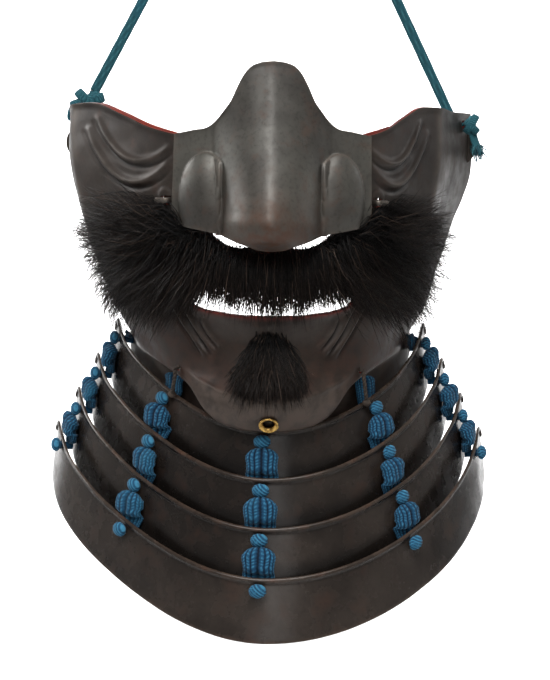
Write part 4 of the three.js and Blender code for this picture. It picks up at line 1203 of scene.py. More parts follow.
    def round_hole(self, around: float, z: float, radius: float) -> Array:
        """A round hole's outline on the plate laid flat."""
        at, out = FACE.point(around, z)[0], FACE.normal(around, z)[0]
        sideways = unit(np.cross(np.array([0, 0, 1.0]), out))
        up = np.cross(out, sideways)
        turn = np.linspace(0, 2 * math.pi, 25)[:-1, None]
        return FACE.flat_of(at + radius * (np.cos(turn) * sideways + np.sin(turn) * up))

    def flange_point(self, around: Array, share: Array) -> Array:
        """Points of the neck flange, from its top below the jaw down to its lower edge."""
        jaw = FACE.point(around, FACE.jaw_z(around))
        half = LAMES.half_width - LAMES.side_step
        deep = LAMES.depth - LAMES.front_step
        angle = np.degrees(np.arctan2(jaw[:, 0] / half, -jaw[:, 1] / deep))
        top = FACE.flange_top(around)
        low = np.minimum(LAMES.point(1, angle, self.flange_cover)[:, 2], top - 4 * FACE.thickness)
        z = top + (low - top) * share
        return LAMES.point(0, angle, LAMES.point(0, angle, 0)[:, 2] - z)

    def form(self, bm: BMesh) -> None:
        """Bends the flat sheet to the face, raises its wrinkles, and stores its rubbing, painted highlights and
        painted shade.
        """
        places = places_of(bm)
        share = stored(bm, "share")
        around, z = places[:, 0] / FACE.sheet_half, places[:, 1]
        level = np.where(share > 1, FACE.jaw_z(around), z)
        raised, rubbed_and_highlit, painted_shade = self.relief(around, level, places[:, :2])
        raised = np.where(share > 1, 0, raised)
        face = FACE.point(around, level) + FACE.normal(around, level) * raised[:, None]
        fold = self.flange_point(around, np.clip((share - 1.2) / 0.6, 0, 1))
        bend = np.clip((share - 1) / 0.2, 0, 1)[:, None]
        move_to(bm, face * (1 - bend) + fold * bend)
        store(bm, "rubbed_and_highlit", rubbed_and_highlit)
        # painted shade on the neck flange under the jaw, besides the grooves' painted shade
        store(bm, "painted_shade", np.maximum(painted_shade, 0.5 * ease_step(1.1, 1.3, share)))
        _, to_mouth, _ = nearest_on_line(FACE.flat_of(self.mouth_outline()), places[:, :2], closed=True)
        store(bm, "lip", 0.9 * peak(to_mouth, 1.0))
        store(bm, "stained", 0.42 * ease_step(0.55, 1.0, share))
        rim = [v for v, down in zip(bm.verts, share) if 0.975 < down < 1.3 and not v.is_boundary]
        for _ in range(2):
            bmesh.ops.smooth_vert(bm, verts=rim, factor=0.5, use_axis_x=True, use_axis_y=True, use_axis_z=True)
        bm.normal_update()

    def relief(self, around: Array, z: Array, flat: Array) -> tuple[Array, Array, Array]:
        """What stands out of the face's form.

        Args:
            around: How far round each place is.
            z: Its height.
            flat: Its place on the plate laid flat.

        Returns:
            How far it is raised, how much rubbing and painted highlight it takes, and how much painted shade it
            holds.
        """
        points = FACE.point(around, z)
        raised = self.marks.relief(points)
        rubbed_and_highlit = np.zeros(len(around))
        painted_shade = np.zeros(len(around))
        for side in Side:
            for wrinkle in self.cheek_wrinkles + self.mouth_wrinkles:
                crest, furrow = self.crescent(wrinkle, side, flat)
                raised += crest * wrinkle.high - furrow * wrinkle.groove
                # the crests lightened, partly rubbed and partly painted highlight
                rubbed_and_highlit = np.maximum(rubbed_and_highlit, 0.45 * crest**3)
                # painted shade in the groove under each wrinkle
                painted_shade = np.maximum(painted_shade, 0.8 * furrow)
            pin = NosePins().frame(side)
            gap = np.linalg.norm(points - (pin.at + pin.up * 1.8), axis=1)
            raised += FACE.boss_rise * (1 - ease_step(self.boss_radius - 0.5, self.boss_radius + 0.5, gap))
            # painted shade in a ring round the boss's foot
            painted_shade = np.maximum(painted_shade, 0.5 * peak(gap - self.boss_radius - 0.6, 0.5))
        _, to_mouth, _ = nearest_on_line(FACE.flat_of(self.mouth_outline()), flat, closed=True)
        raised += self.lip_roll * peak(to_mouth, 2.2)
        crease_z = -self.crease_down * FACE.height + 7 * (np.abs(around) / 0.28) ** 2
        on_chin = 1 - ease_step(0.24, 0.36, np.abs(around))
        raised += self.crease_high * np.exp(-np.abs(z - crease_z) / 1.5) * on_chin
        # painted reflection: the chin's underside lightened below the crease
        rubbed_and_highlit = np.maximum(rubbed_and_highlit, 0.5 * ease_step(crease_z + 1.5, crease_z - 1, z) * on_chin)
        from_bend = np.abs(np.abs(flat[:, 0]) - self.bend_at * FACE.sheet_half)
        hat = np.clip(1 - np.sqrt(from_bend**2 + self.bend_half**2) / self.bend_wide, 0, 1) ** 1.5
        on_cheek = 1 - ease_step(0.45, 0.65, -z / FACE.height)
        raised += self.bend_high * hat * on_cheek
        # painted highlight along the cheek's bend
        rubbed_and_highlit = np.maximum(rubbed_and_highlit, 0.6 * peak(from_bend, 2.6) * on_cheek)
        to_top = FACE.top_z(around) - z
        raised += self.top_roll * peak(to_top, 1.4)
        to_jaw = z - FACE.jaw_z(around)
        rubbed_and_highlit = np.maximum(rubbed_and_highlit, 0.3 * peak(to_top, 0.7))
        rubbed_and_highlit = np.maximum(rubbed_and_highlit, 0.35 * peak(to_jaw, 0.9))
        return raised, rubbed_and_highlit, painted_shade

    def crescent(self, wrinkle: Wrinkle, side: Side, flat: Array) -> tuple[Array, Array]:
        """How much of a wrinkle's crest, and of the groove under it, lies at each place."""
        line = wrinkle.line(side)
        near = np.linalg.norm(flat - line[len(line) // 2], axis=1) < 60
        crest, furrow = np.zeros(len(flat)), np.zeros(len(flat))
        nearest, gap, along = nearest_on_line(line, flat[near], closed=False)
        under = np.where(flat[near][:, 1] < nearest[:, 1], gap, -gap)
        taper = np.sin(math.pi * np.clip(0.05 + 0.9 * along, 0, 1)) ** 0.6
        past_end = np.where((along <= 0) | (along >= 1), peak(gap, 1.2), 1)
        half = wrinkle.wide * 0.32
        crest[near] = peak(under, half) * taper * past_end
        furrow[near] = peak(under - wrinkle.wide * 0.55, half * 0.62) * taper * past_end
        return crest, furrow

    def lobe(self, side: Side) -> BMesh:
        """The round lobe that stands out of a back edge."""
        back = FACE.lifted(side.value * 0.96, -self.lobe_drop, -FACE.thickness / 2)[0]
        bm = bmesh.new()
        size = {"radius1": self.lobe_radius, "radius2": self.lobe_radius, "depth": FACE.thickness}
        bmesh.ops.create_cone(bm, cap_ends=True, segments=48, **size)
        bmesh.ops.rotate(bm, cent=(0, 0, 0), matrix=Matrix.Rotation(math.pi / 2, 3, "X"), verts=bm.verts)
        bmesh.ops.translate(bm, vec=(back[0] - side.value * self.lobe_in, back[1], back[2]), verts=bm.verts)
        wall = (back[0] - side.value * FACE.thickness / 3, back[1], back[2])
        geometry = bm.verts[:] + bm.edges[:] + bm.faces[:]
        bmesh.ops.bisect_plane(bm, geom=geometry, plane_co=wall, plane_no=(-side.value, 0, 0), clear_outer=True)
        bmesh.ops.holes_fill(bm, edges=bm.edges, sides=0)
        rims = [edge for edge in bm.edges if edge.calc_face_angle(0) > 1.2]
        bmesh.ops.bevel(bm, geom=rims, offset=0.3, segments=2, profile=0.5, affect="EDGES", material=-1)
        store(bm, "rubbed_and_highlit", np.full(len(bm.verts), 0.15))
        bmesh.ops.recalc_face_normals(bm, faces=bm.faces)
        return bm


@dataclass(frozen=True)
class PinFrame:
    """A nose pin's place on the cheek with its own directions."""

    at: Array
    out: Array
    sideways: Array
    up: Array


@dataclass(frozen=True)
class NosePins:
    """The two forged pins that hold the nose piece, each with a leg through a slot of the cheek."""

    across: float = 42.8
    down: float = 0.293
    radius: float = 1.25
    slot_wide: float = 6.2
    slot_tall: float = 3.6
    foot_tall: float = 5.6

    def frame(self, side: Side) -> PinFrame:
        """The pin's place and directions on one side."""
        z = -self.down * FACE.height
        around = FACE.around_at(side.value * self.across, z)
        out = FACE.normal(around, z)[0]
        sideways = unit(np.array([-out[1], out[0], 0.0])) * side.value
        up = np.cross(out, sideways) * side.value
        return PinFrame(FACE.point(around, z)[0], out, sideways, up)

    def slot_corners(self, side: Side) -> Array:
        """The slot's outline in space, with the corners drawn a little round."""
        pin = self.frame(side)
        centre = pin.at - pin.sideways * self.slot_wide / 4
        turn = np.linspace(0, 2 * math.pi, 33)[:-1]
        u = np.sign(np.cos(turn)) * np.abs(np.cos(turn)) ** 0.4 * self.slot_wide / 2
        v = np.sign(np.sin(turn)) * np.abs(np.sin(turn)) ** 0.4 * self.slot_tall / 2
        return centre + u[:, None] * pin.sideways + v[:, None] * pin.up

    def build(self) -> list[Piece]:
        """Forges both pins and shows them."""
        return [self.pin(side) for side in Side]

    def pin(self, side: Side) -> Piece:
        """One pin: a bar on the boss, a leg through the slot and a foot inside."""
        pin = self.frame(side)
        clear = FACE.boss_rise + SEAT_GAP + self.radius
        inner = pin.at - pin.sideways * self.slot_wide / 3 + pin.out * clear
        outer = pin.at + pin.sideways * self.slot_wide / 2 + pin.out * clear
        foot = inner - pin.out * (clear + FACE.thickness + SEAT_GAP + 2 * self.radius)
        path = np.concatenate([np.linspace(outer, inner, 9)[:-1], np.linspace(inner, foot, 9)])
        soft = path.copy()
        soft[1:-1] = (path[:-2] + 2 * path[1:-1] + path[2:]) / 4
        ends = np.minimum(np.arange(len(path)), np.arange(len(path))[::-1])
        size = 2 * self.radius * np.where(ends == 0, 0.8, 1.0)
        bar = swept(soft, size, size * 0.92, pin.up, 16, square=0.8)
        way = pin.sideways * self.slot_wide
        plate_path = np.linspace(foot - 0.5 * way, foot + 0.75 * way, 9) + pin.out * self.radius
        foot_plate = swept(plate_path, self.foot_tall, self.foot_tall * 0.25, pin.up, 16, square=0.5)
        bm = merged([bar, foot_plate])
        store(bm, "rubbed_and_highlit", np.full(len(bm.verts), 0.5))
        node = "nose_pin_left" if side is Side.LEFT else "nose_pin_right"
        return add_piece(f"{node}_forged", mesh_of(bm, [PIN_IRON]), [node])


@dataclass(frozen=True)
class NosePiece:
    """The lift-off nose, formed from its own sheet."""

    form: NoseForm
    column_step: float = 0.62
    row_step: float = 0.62
    edge_radius: float = 0.3
    marks: HammerMarks = HammerMarks(least=12, most=30, deep=0.06, seed=8)

    def build(self) -> Piece:
        """Forms the nose's sheet, gives it its wall and shows it."""
        level = -0.2 * FACE.height
        half = self.form.half_width
        shares = np.linspace(-1, 1, round(2 * half / self.column_step) + 1)
        rows = np.linspace(0, 1, round(74 / self.row_step) + 1)
        bm = flat_sheet(shares, rows)
        places = places_of(bm)
        around = FACE.around_at(places[:, 0] * half, level)
        out = np.abs(places[:, 0])
        top = -FACE.height * read_table(self.form.outline, 1, out)
        low = -FACE.height * read_table(self.form.outline, 2, out)
        z = low + (top - low) * places[:, 1]
        points = self.form.point(around, z)
        normal = surface_normals(lambda a, b: self.form.point(a, b), around, z, 0.006, 0.5)
        to_edge = np.minimum.reduce([(1 - out) * half, top - z, z - low])
        rolled = 0.35 * peak(to_edge, 1.0)
        ridge = 0.45 * peak(points[:, 0], 3.4)
        step, line = self.wing_step(points)
        flat_marks = self.marks.relief(points * np.array([1, 0.3, 1]))
        points += normal * (flat_marks + rolled + ridge + step)[:, None]
        move_to(bm, points)
        wing = self.wing_edges(points)
        # rubbed edges and wing edges, and a painted highlight line along each wing's upper edge
        rubbed_and_highlit = np.maximum.reduce([0.35 * peak(to_edge, 0.8), 0.4 * wing, 0.8 * line])
        store(bm, "rubbed_and_highlit", rubbed_and_highlit)
        to_tip = np.hypot(points[:, 0] / 15, (z - low) / 17)
        furrow = peak(np.abs(points[:, 0]) - self.form.wing_inner + 0.5, 0.5) * (wing > 0.02)
        # painted shade in the furrow at each wing's inner edge and under the nose's tip
        store(bm, "painted_shade", np.maximum(0.55 * furrow, 0.4 * peak(to_tip, 0.8)))
        store(bm, "stained", 0.95 * peak(to_tip, 1.0))
        mesh = plated(mesh_of(bm, [NOSE_IRON, RED_LACQUER]), self.form.thickness, self.edge_radius, 1)
        return add_piece("nose_piece_formed", mesh, ["nose_piece"])

    def wing_step(self, points: Array) -> tuple[Array, Array]:
        """The crisp step round each wing, and the painted highlight line along its upper edge."""
        form = self.form
        wing_x = (np.abs(points[:, 0]) - form.wing_across) / form.wing_half_wide
        wing_z = (points[:, 2] + form.wing_down * FACE.height) / form.wing_half_tall
        within = 1 - wing_x**2 - wing_z**2
        inside = np.abs(points[:, 0]) > form.wing_inner + 0.5
        line = peak(within - 0.06, 0.05) * inside * ease_step(-0.3, 0.4, wing_z)
        return 0.6 * ease_step(0, 0.1, within) * inside, line

    def wing_edges(self, points: Array) -> Array:
        """How near each point lies to the wings' sharp inner edges."""
        across = np.abs(points[:, 0]) - self.form.wing_inner - 1.1
        level = (points[:, 2] + self.form.wing_down * FACE.height) / self.form.wing_half_tall
        return peak(across, 0.8) * (np.abs(level) < 0.75)


@dataclass(frozen=True)
class DrainEyelet:
    """The flanged brass tube through the underside of the chin, turned round its axis."""

    radius: float = 2.1
    tube: float = 2.7
    flange: float = 4.0
    rise: float = 1.1
    inside: float = 6.3

    def build(self) -> Piece:
        """Spins the eyelet's section and sets it in the chin."""
        base, top = SEAT_GAP, SEAT_GAP + self.rise
        section = [
            (self.tube, -self.inside),
            (self.tube, base),
            (self.flange - 0.3, base),
            (self.flange, base + 0.3),
            (self.flange, top - 0.35),
            (self.flange - 0.25, top),
            (self.flange - 0.65, top - 0.05),
            (self.radius + 0.5, base + 0.35),
            (self.radius + 0.1, base),
            (self.radius, base - 0.6),
            (self.radius, -self.inside),
        ]
        bm = bmesh.new()
        corners = [bm.verts.new((radius, 0, height)) for radius, height in section]
        edges = [bm.edges.new(pair) for pair in zip(corners, corners[1:] + corners[:1])]
        turn = {"cent": (0, 0, 0), "axis": (0, 0, 1), "angle": 2 * math.pi}
        bmesh.ops.spin(bm, geom=corners + edges, steps=48, use_merge=True, **turn)
        bmesh.ops.recalc_face_normals(bm, faces=bm.faces)
        # painted shade inside the tube, darkest deep in it
        store(bm, "painted_shade", 0.95 * ease_step(0.6, 0.2, places_of(bm)[:, 2]))
        z = -FACE.drain_down * FACE.height
        at, out = FACE.point(0.0, z)[0], FACE.normal(0.0, z)[0]
        turn = Vector((0, 0, 1)).rotation_difference(Vector(out)).to_matrix()
        bmesh.ops.rotate(bm, cent=(0, 0, 0), matrix=turn, verts=bm.verts)
        bmesh.ops.translate(bm, vec=Vector(at), verts=bm.verts)
        return add_piece("drain_eyelet_turned", mesh_of(bm, [BRASS]), ["drain_eyelet"])


# Throat guard


@dataclass(frozen=True)
class ThroatLames:
    """The four curved lames, each with a rolled top rim and five lace holes."""

    hole_radius: float = 1.8
    edge_radius: float = 0.35
    sheet_scale: float = 1.4  # millimetres of sheet for each degree
    columns_even: int = 113
    near_hole: float = 2.6  # degrees on each side of a hole with closer columns
    marks: HammerMarks = HammerMarks(least=14, most=40, deep=0.22, seed=5)

    def build(self) -> list[Piece]:
        """Forms every lame and shows it."""
        return [self.lame(number) for number in range(1, LAMES.count + 1)]

    def columns(self) -> Array:
        """Angles of the sheet's columns, closer together at the holes and at the ends."""
        even = np.linspace(-LAMES.end_angle, LAMES.end_angle, self.columns_even)
        offsets = np.linspace(-self.near_hole, self.near_hole, 9)
        near = [angle + offset for angle in LAMES.lace_angles for offset in offsets]
        ends = [side * (LAMES.end_angle - step) for side in (-1, 1) for step in (0.15, 0.5, 1.0, 2.2, 3.0, 4.5)]
        far = [a for a in even if min(abs(a - angle) for angle in LAMES.lace_angles) > self.near_hole + 0.6]
        return np.unique(np.round(np.concatenate([far, near, ends]), 4))

    def lame(self, number: int) -> Piece:
        """One lame: a sheet with its holes cut, bent round the throat."""
        rim = np.linspace(0, 1, 7)
        body = 1 + np.concatenate([np.linspace(0.035, 0.24, 8), np.linspace(0.3, 1, 12)])
        rows = -np.concatenate([rim, body])[::-1]
        scale = self.sheet_scale
        bm = flat_sheet(self.columns() * scale, rows)
        places = places_of(bm)
        angle, share = places[:, 0] / scale, -places[:, 1]
        cut = LAMES.end_cut(angle)
        high = cut + np.minimum(share, 1) * LAMES.rim_height
        low = LAMES.height - cut
        down = np.minimum(high + (low - high) * np.maximum(share - 1, 0), low)
        store(bm, "share", share)
        move_to(bm, np.stack([places[:, 0], -down, np.zeros(len(down))], axis=1))
        turn = np.linspace(0, 2 * math.pi, 17)[:-1]
        for middle in LAMES.lace_angles:
            beside = LAMES.point(number, np.array([middle - 0.5, middle + 0.5]), LAMES.hole_down)
            degree = np.linalg.norm(beside[1] - beside[0])
            across = middle * scale + self.hole_radius / degree * scale * np.cos(turn)
            cut_opening(bm, np.stack([across, self.hole_radius * np.sin(turn) - LAMES.hole_down], axis=1))
        places = places_of(bm)
        share = stored(bm, "share")
        angle, down = places[:, 0] / scale, -places[:, 1]
        points, normal = LAMES.point(number, angle, down), LAMES.normal(number, angle, down)
        bead = np.sin(math.pi * np.clip(share, 0, 1)) ** 0.7 * LAMES.rim_rise
        raised = bead + self.marks.relief(points + number * 31.0)
        move_to(bm, points + normal * raised[:, None])
        cut = LAMES.end_cut(angle)
        to_edge = np.minimum(down - cut, LAMES.height - cut - down)
        # rubbed edges, and a painted highlight line along the rolled rim's crest
        rubbed_and_highlit = 0.5 * peak(to_edge, 0.45) + 0.2 * peak(down - cut - 1.1, 0.6)
        store(bm, "rubbed_and_highlit", np.clip(rubbed_and_highlit, 0, 1))
        chance = np.random.default_rng(number)
        chips = sum(peak(angle - at, chance.uniform(0.3, 1.2)) for at in chance.uniform(-60, 60, 9))
        store(bm, "stained", np.clip(chips, 0, 1) * peak(down - cut - 0.8, 0.8))
        # painted shade: a dark band where the next lame covers this one, and a dark line under the rolled rim
        tops = [LAMES.point(which, angle, np.zeros(1))[:, 2] for which in (number, number + 1)]
        covered = tops[0] - tops[1]
        shaded = 0.9 * ease_step(covered - 8, covered + 1, down) * (number < LAMES.count)
        store(bm, "painted_shade", np.maximum(0.5 * peak(share - 1.03, 0.03), shaded))
        mesh = plated(mesh_of(bm, [LAME_LACQUER]), LAMES.thickness, self.edge_radius, 0)
        return add_piece(f"lame_{number}_formed", mesh, [f"lame_{number}"])


@dataclass(frozen=True)
class Lacing:
    """Twenty laces: each a ribbed pair of braids that bulges on one plate and ends in a knot on the next."""

    wide: float = 13.0
    bulge: float = 6.2
    neck_radius: float = 1.6
    knot: Triple = (6.8, 5.4, 3.6)
    slack: float = 0.8
    jaw_gap: float = 3.2
    least: float = 1.8
    ribs: int = 16
    rib_deep: float = 0.36
    sides: int = 64
    bead_pitch: float = 1.15  # coarser than real stitches, which would be lost in the picture
    side_from: float = 60.0  # degrees round, past which the laces are fuller
    side_wide: float = 1.2
    station_mm: float = 0.3

    def build(self) -> list[Piece]:
        """Laces every hole of every lame."""
        return [
            self.lace(row, column + 1, angle)
            for row in range(1, LAMES.count + 1)
            for column, angle in enumerate(LAMES.lace_angles)
        ]

    def braid_relief(self, turn: Array, along: Array) -> tuple[Array, Array]:
        """Ribs down the pair, each plaited in small slanting stitches, and the parting of its two braids."""
        rib = turn * self.ribs
        within = np.abs(rib - np.round(rib)) * 2
        ridge = np.sqrt(np.clip(1 - (1 - within) ** 2.2, 0, 1))
        lean = np.where(np.floor(rib) % 2 > 0, 0.7, -0.7) * (rib - np.floor(rib))
        stitch = 0.5 + 0.5 * np.cos(2 * math.pi * (along / self.bead_pitch + lean))
        parting = peak(turn - 0.25, 0.014)
        # the crest values: painted highlight on the ribs' stitches, painted shade in the furrows and the
        # parting
        crest = np.clip(ridge * (0.5 + 0.45 * stitch) * (1 - parting), 0, 1)
        return self.rib_deep * (ridge - 0.7) + 0.13 * ridge * (stitch - 0.5) - 0.9 * parting, crest

    def knot_relief(self, local: Array) -> Array:
        """Slanting turns of braid round a knot, which also set painted highlight on the turns and painted shade
        between them.
        """
        slant = local[:, 0] * 0.72 + local[:, 1] * 0.7 + 0.25 * local[:, 2]
        return np.abs(np.sin(slant * math.pi * 2.6)) ** 0.7

    def lace(self, row: int, column: int, angle: float) -> Piece:
        """One lace from its plate above to its knot below."""
        knot_at = LAMES.point(row, angle, LAMES.hole_down)[0]
        out = LAMES.normal(row, angle, LAMES.hole_down)[0]
        beside = LAMES.point(row, np.array([angle - 1, angle + 1]), LAMES.hole_down)
        across = unit(beside[1] - beside[0])
        up = np.cross(out, across)
        path, wide, thick = self.pair_path(row, angle, knot_at)
        share = np.linspace(0, 1, len(path))
        chance = np.random.default_rng(10 * row + column)
        bow, turned = chance.normal(0, 0.45), chance.normal(0, 0.16)
        fuller = self.side_wide if abs(angle) > self.side_from else 1
        wide = wide * (1 + 0.05 * np.sin(share * 9 + chance.uniform(0, 6))) * fuller
        path = path + across * (bow * np.sin(math.pi * share))[:, None]
        ways = across + out * (turned * np.sin(math.pi * share))[:, None]
        pair = swept(path, wide, thick, ways, self.sides, self.braid_relief, square=0.86)
        centre = knot_at + out * (SEAT_GAP + self.knot[2] / 2)
        halves = [size / 2 for size in self.knot]
        knot = ball(centre, [across, up, out], [halves[0], halves[1], halves[2] * 1.12], self.knot_relief)
        neck_end = knot_at - out * self.neck_length(row, angle, knot_at, out)
        neck = swept(np.linspace(centre, neck_end, 5), 2 * self.neck_radius, 2 * self.neck_radius, across, 12)
        parts = [pair, knot, neck]
        if row == 1:
            inner = neck_end - out * self.knot[2] / 4
            parts.append(ball(inner, [across, up, out], [h * 0.9 for h in halves], self.knot_relief))
        node = f"lace_r{row}_c{column}"
        return add_piece(f"{node}_braided", mesh_of(merged(parts), [LACE_BRAID]), [node])

    def neck_length(self, row: int, angle: float, knot_at: Array, out: Array) -> float:
        """How far the braid goes in behind its hole."""
        if row > 1:
            return LAMES.thickness + self.slack + self.bulge / 2
        flange_down = LAMES.point(0, angle, 0)[0][2] - knot_at[2]
        flange_at = LAMES.point(0, angle, flange_down)[0]
        return float((knot_at - flange_at) @ out) + FACE.thickness + self.knot[2] / 2 + SEAT_GAP

    def pair_path(self, row: int, angle: float, knot_at: Array) -> tuple[Array, Array, Array]:
        """The pair's middle line on the plate above, with its width and thickness along it."""
        above = row - 1
        low_end = float(LAMES.point(above, angle, 0)[0][2] - knot_at[2])
        under_knot = LAMES.hole_down + self.knot[1] / 2 + SEAT_GAP
        around = FACE.around_at(knot_at[0], knot_at[2])
        under_jaw = float(LAMES.point(above, angle, 0)[0][2] - FACE.flange_top(around)[0]) + self.jaw_gap
        high_end = under_knot if row > 1 else min(under_jaw, low_end - self.least)
        length = low_end - high_end
        count = max(10, round(length / self.station_mm))
        share = np.linspace(0, 1, count)
        down = high_end + length * share
        normal = LAMES.normal(above, angle, down)
        on_plate = LAMES.point(above, angle, down)
        level = LAMES.point(row, angle, 0)[0][2] - on_plate[:, 2]
        behind_down = np.maximum(level, 0)
        behind = LAMES.point(row, angle, behind_down) - LAMES.normal(row, angle, behind_down) * LAMES.thickness
        gap = ((behind - on_plate) * normal).sum(axis=1) - 2 * SEAT_GAP - self.slack
        squeezed = np.minimum(self.bulge, gap)
        shoulder = np.sin(math.pi / 2 * np.clip((share + 0.02) / 0.26, 0, 1)) ** 0.75
        free = self.bulge * (0.3 + 0.7 * shoulder) if row > 1 else squeezed * (0.6 + 0.4 * shoulder)
        in_gap = ease_step(0.45, 0.66, share)
        thick = np.minimum(free, squeezed * in_gap + free * (1 - in_gap))
        wide = self.wide * (0.34 + 0.66 * shoulder) * (1 - 0.3 * ease_step(0.64, 1.0, share))
        ends = np.clip(np.minimum(share, 1 - share) * length / 0.9, 0, 1)
        closing = np.sqrt(np.clip(1 - (1 - ends) ** 2, 0.03, 1))
        return on_plate + normal * (SEAT_GAP + thick / 2)[:, None], wide * closing, thick * closing


@dataclass(frozen=True)
class Thongs:
    """Two thin ties of twisted hide from the jaw to the first lame's rim."""

    radius: float = 0.9
    turn_mm: float = 3.4
    rim_angle: float = 35.0  # where the tie meets the first lame's rim, in degrees round

    def build(self) -> list[Piece]:
        """Twists both ties and shows them."""
        return [self.tie(side) for side in Side]

    def tie(self, side: Side) -> Piece:
        """One tie, two strands round each other, with its stopper inside the jaw."""
        around, jaw_z = side.value * FACE.thong_around, FACE.jaw_z(FACE.thong_around)
        z = float(jaw_z[0]) + FACE.thong_rise
        at, out = FACE.point(around, z)[0], FACE.normal(around, z)[0]
        lift = self.radius + SEAT_GAP
        inside = at - out * (FACE.thickness + SEAT_GAP + self.radius)
        outside = at + out * lift
        jaw = FACE.lifted(side.value * (FACE.thong_around + 0.01), jaw_z + 0.5, lift + 0.4)[0]
        angle = side.value * self.rim_angle
        rim = LAMES.point(1, angle, 0.5)[0] + LAMES.normal(1, angle, 0.5)[0] * (LAMES.rim_rise + lift)
        path = smooth_path([inside, outside, jaw, rim], 60)
        along = unit(np.gradient(path, axis=0))
        first = unit(np.cross(along, np.array([0.2, 0.1, 1.0])))
        second = np.cross(along, first)
        length = np.linalg.norm(np.diff(path, axis=0), axis=1).sum()
        strands = []
        for start in (0, math.pi):
            turn = np.linspace(0, 2 * math.pi * length / self.turn_mm, len(path)) + start
            offset = first * np.cos(turn)[:, None] + second * np.sin(turn)[:, None]
            strand = path + offset * self.radius * 0.42
            strands.append(swept(strand, self.radius * 1.15, self.radius * 1.15, offset, 8))
        stopper, knot = self.radius * np.array([1.8, 1.8, 1.8]), self.radius * np.array([1.9, 1.52, 1.71])
        strands.append(ball(inside - out * self.radius, np.eye(3), stopper, knot_turns(4, 3)))
        strands.append(ball(rim, np.eye(3), knot, knot_turns(5, -4)))
        node = "thong_left" if side is Side.LEFT else "thong_right"
        return add_piece(f"{node}_twisted", mesh_of(merged(strands), [HIDE]), [node])


# Hair


@dataclass(frozen=True)
class HairFan:
    """Hair that springs from a line of roots and follows the face, combed outwards.

    Attributes:
        name: The piece's name.
        node: The CAD node that it stands for.
        fan: From the fan's middle to its side: across, root around, root down, tip around, tip down.
        low: Where across the fan starts, from -1 to 1.
        high: Where it ends.
        count: How many hairs.
        root_spread: How far the roots scatter, in millimetres.
        tip_spread: How far the tips scatter.
        thick: How far the fullest part stands off the face.
        tip_lift: How far the tips stand off it at most.
        seed: Which set of hairs it is.
        spring: How far above its root a hair first rises.
        reach: How much further round the tips go.
        scatter: How far along its way a hair may start.
        clump: How many hairs keep together.
        stations: How many points a hair has.
        radius: Of a hair.
    """

    name: str
    node: str
    fan: Table
    low: float
    high: float
    count: int
    root_spread: float
    tip_spread: float
    thick: float
    tip_lift: float
    seed: int
    spring: float = 5.0
    reach: float = 1.0
    scatter: float = 0.16
    clump: int = 12
    stations: int = 7
    radius: float = 0.185  # thicker than a real hair, which would be lost in the picture

    def build(self) -> Piece:
        """Combs the hairs, in clumps, and shows them."""
        chance = np.random.default_rng(self.seed)
        clumps = self.count // self.clump
        clump = chance.integers(0, clumps, self.count)
        across = chance.uniform(self.low, self.high, clumps)[clump] + chance.normal(0, 0.02, self.count)
        side = np.where(across < 0, -1.0, 1.0)
        read = [read_table(self.fan, column, np.clip(np.abs(across), 0, 1)) for column in range(1, 5)]
        scale = np.array([FACE.sheet_half, -FACE.height])
        root = np.stack([read[0] * side, read[1]], axis=1) * scale
        tip = np.stack([read[2] * side * self.reach, read[3]], axis=1) * scale
        root = root + chance.normal(0, self.root_spread, root.shape) * np.array([1.0, 0.8])
        together = chance.normal(0, self.tip_spread, (clumps, 2))[clump]
        tip = tip + 0.85 * together + 0.45 * chance.normal(0, self.tip_spread, tip.shape)
        root = root + (tip - root) * chance.uniform(0, self.scatter, self.count)[:, None]
        tip = root + (tip - root) * chance.uniform(0.36, 1.12, self.count)[:, None] ** 0.8
        t = np.linspace(0, 1, self.stations)
        bend = chance.normal(0, 0.05, clumps)[clump] + chance.normal(0, 0.03, self.count)
        way = tip - root
        square = np.stack([-way[:, 1], way[:, 0]], axis=1)
        flat = root[:, None] + way[:, None] * t[None, :, None]
        flat = flat + square[:, None] * (bend[:, None] * 4 * t * (1 - t))[:, :, None]
        spring = chance.uniform(0, 1, self.count) * self.spring
        fall = 0.0006 * (way**2).sum(axis=1)
        flat[:, :, 1] += spring[:, None] * np.sin(math.pi * np.clip(1.7 * t, 0, 1)) - fall[:, None] * t**2
        layer = chance.uniform(0, 1, self.count) ** 1.2 * self.thick
        lift_end = chance.uniform(0, 1, self.count) ** 1.8 * self.tip_lift
        lift = 0.3 + layer[:, None] * np.sin(math.pi * (0.04 + 0.7 * t)) ** 0.8 + lift_end[:, None] * t**2
        places = flat.reshape(-1, 2)
        around = places[:, 0] / FACE.sheet_half
        over = self.over_nose(around, places[:, 1]).reshape(lift.shape) * np.clip(4 * t, 0, 1)
        lift = np.maximum(lift, over + 0.4 * lift)
        paths = FACE.lifted(around, places[:, 1], lift.reshape(-1)).reshape(self.count, len(t), 3)
        radii = self.radius * (1 - 0.75 * t[:-1] ** 2)[None, :] * chance.uniform(0.7, 1.15, self.count)[:, None]
        mesh = strands_mesh(paths, radii, chance.uniform(0, 1, self.count), GUARD_HAIR)
        return add_piece(self.name, mesh, [self.node])

    def over_nose(self, around: Array, z: Array) -> Array:
        """How far the hair has to stand off the face to pass over the nose piece's lower corners."""
        x = FACE.point(around, z)[:, 0]
        out = np.clip(np.abs(x) / NOSE.half_width, 0, 1)
        low = -FACE.height * read_table(NOSE.outline, 2, out)
        share = ease_step(low - 4, low, z) * ease_step(17, 23, np.abs(x)) * (1 - ease_step(38, 43, np.abs(x)))
        return share * (SEAT_GAP + NOSE.thickness + 0.5 + NOSE.stand_out(x, z, 1.1))


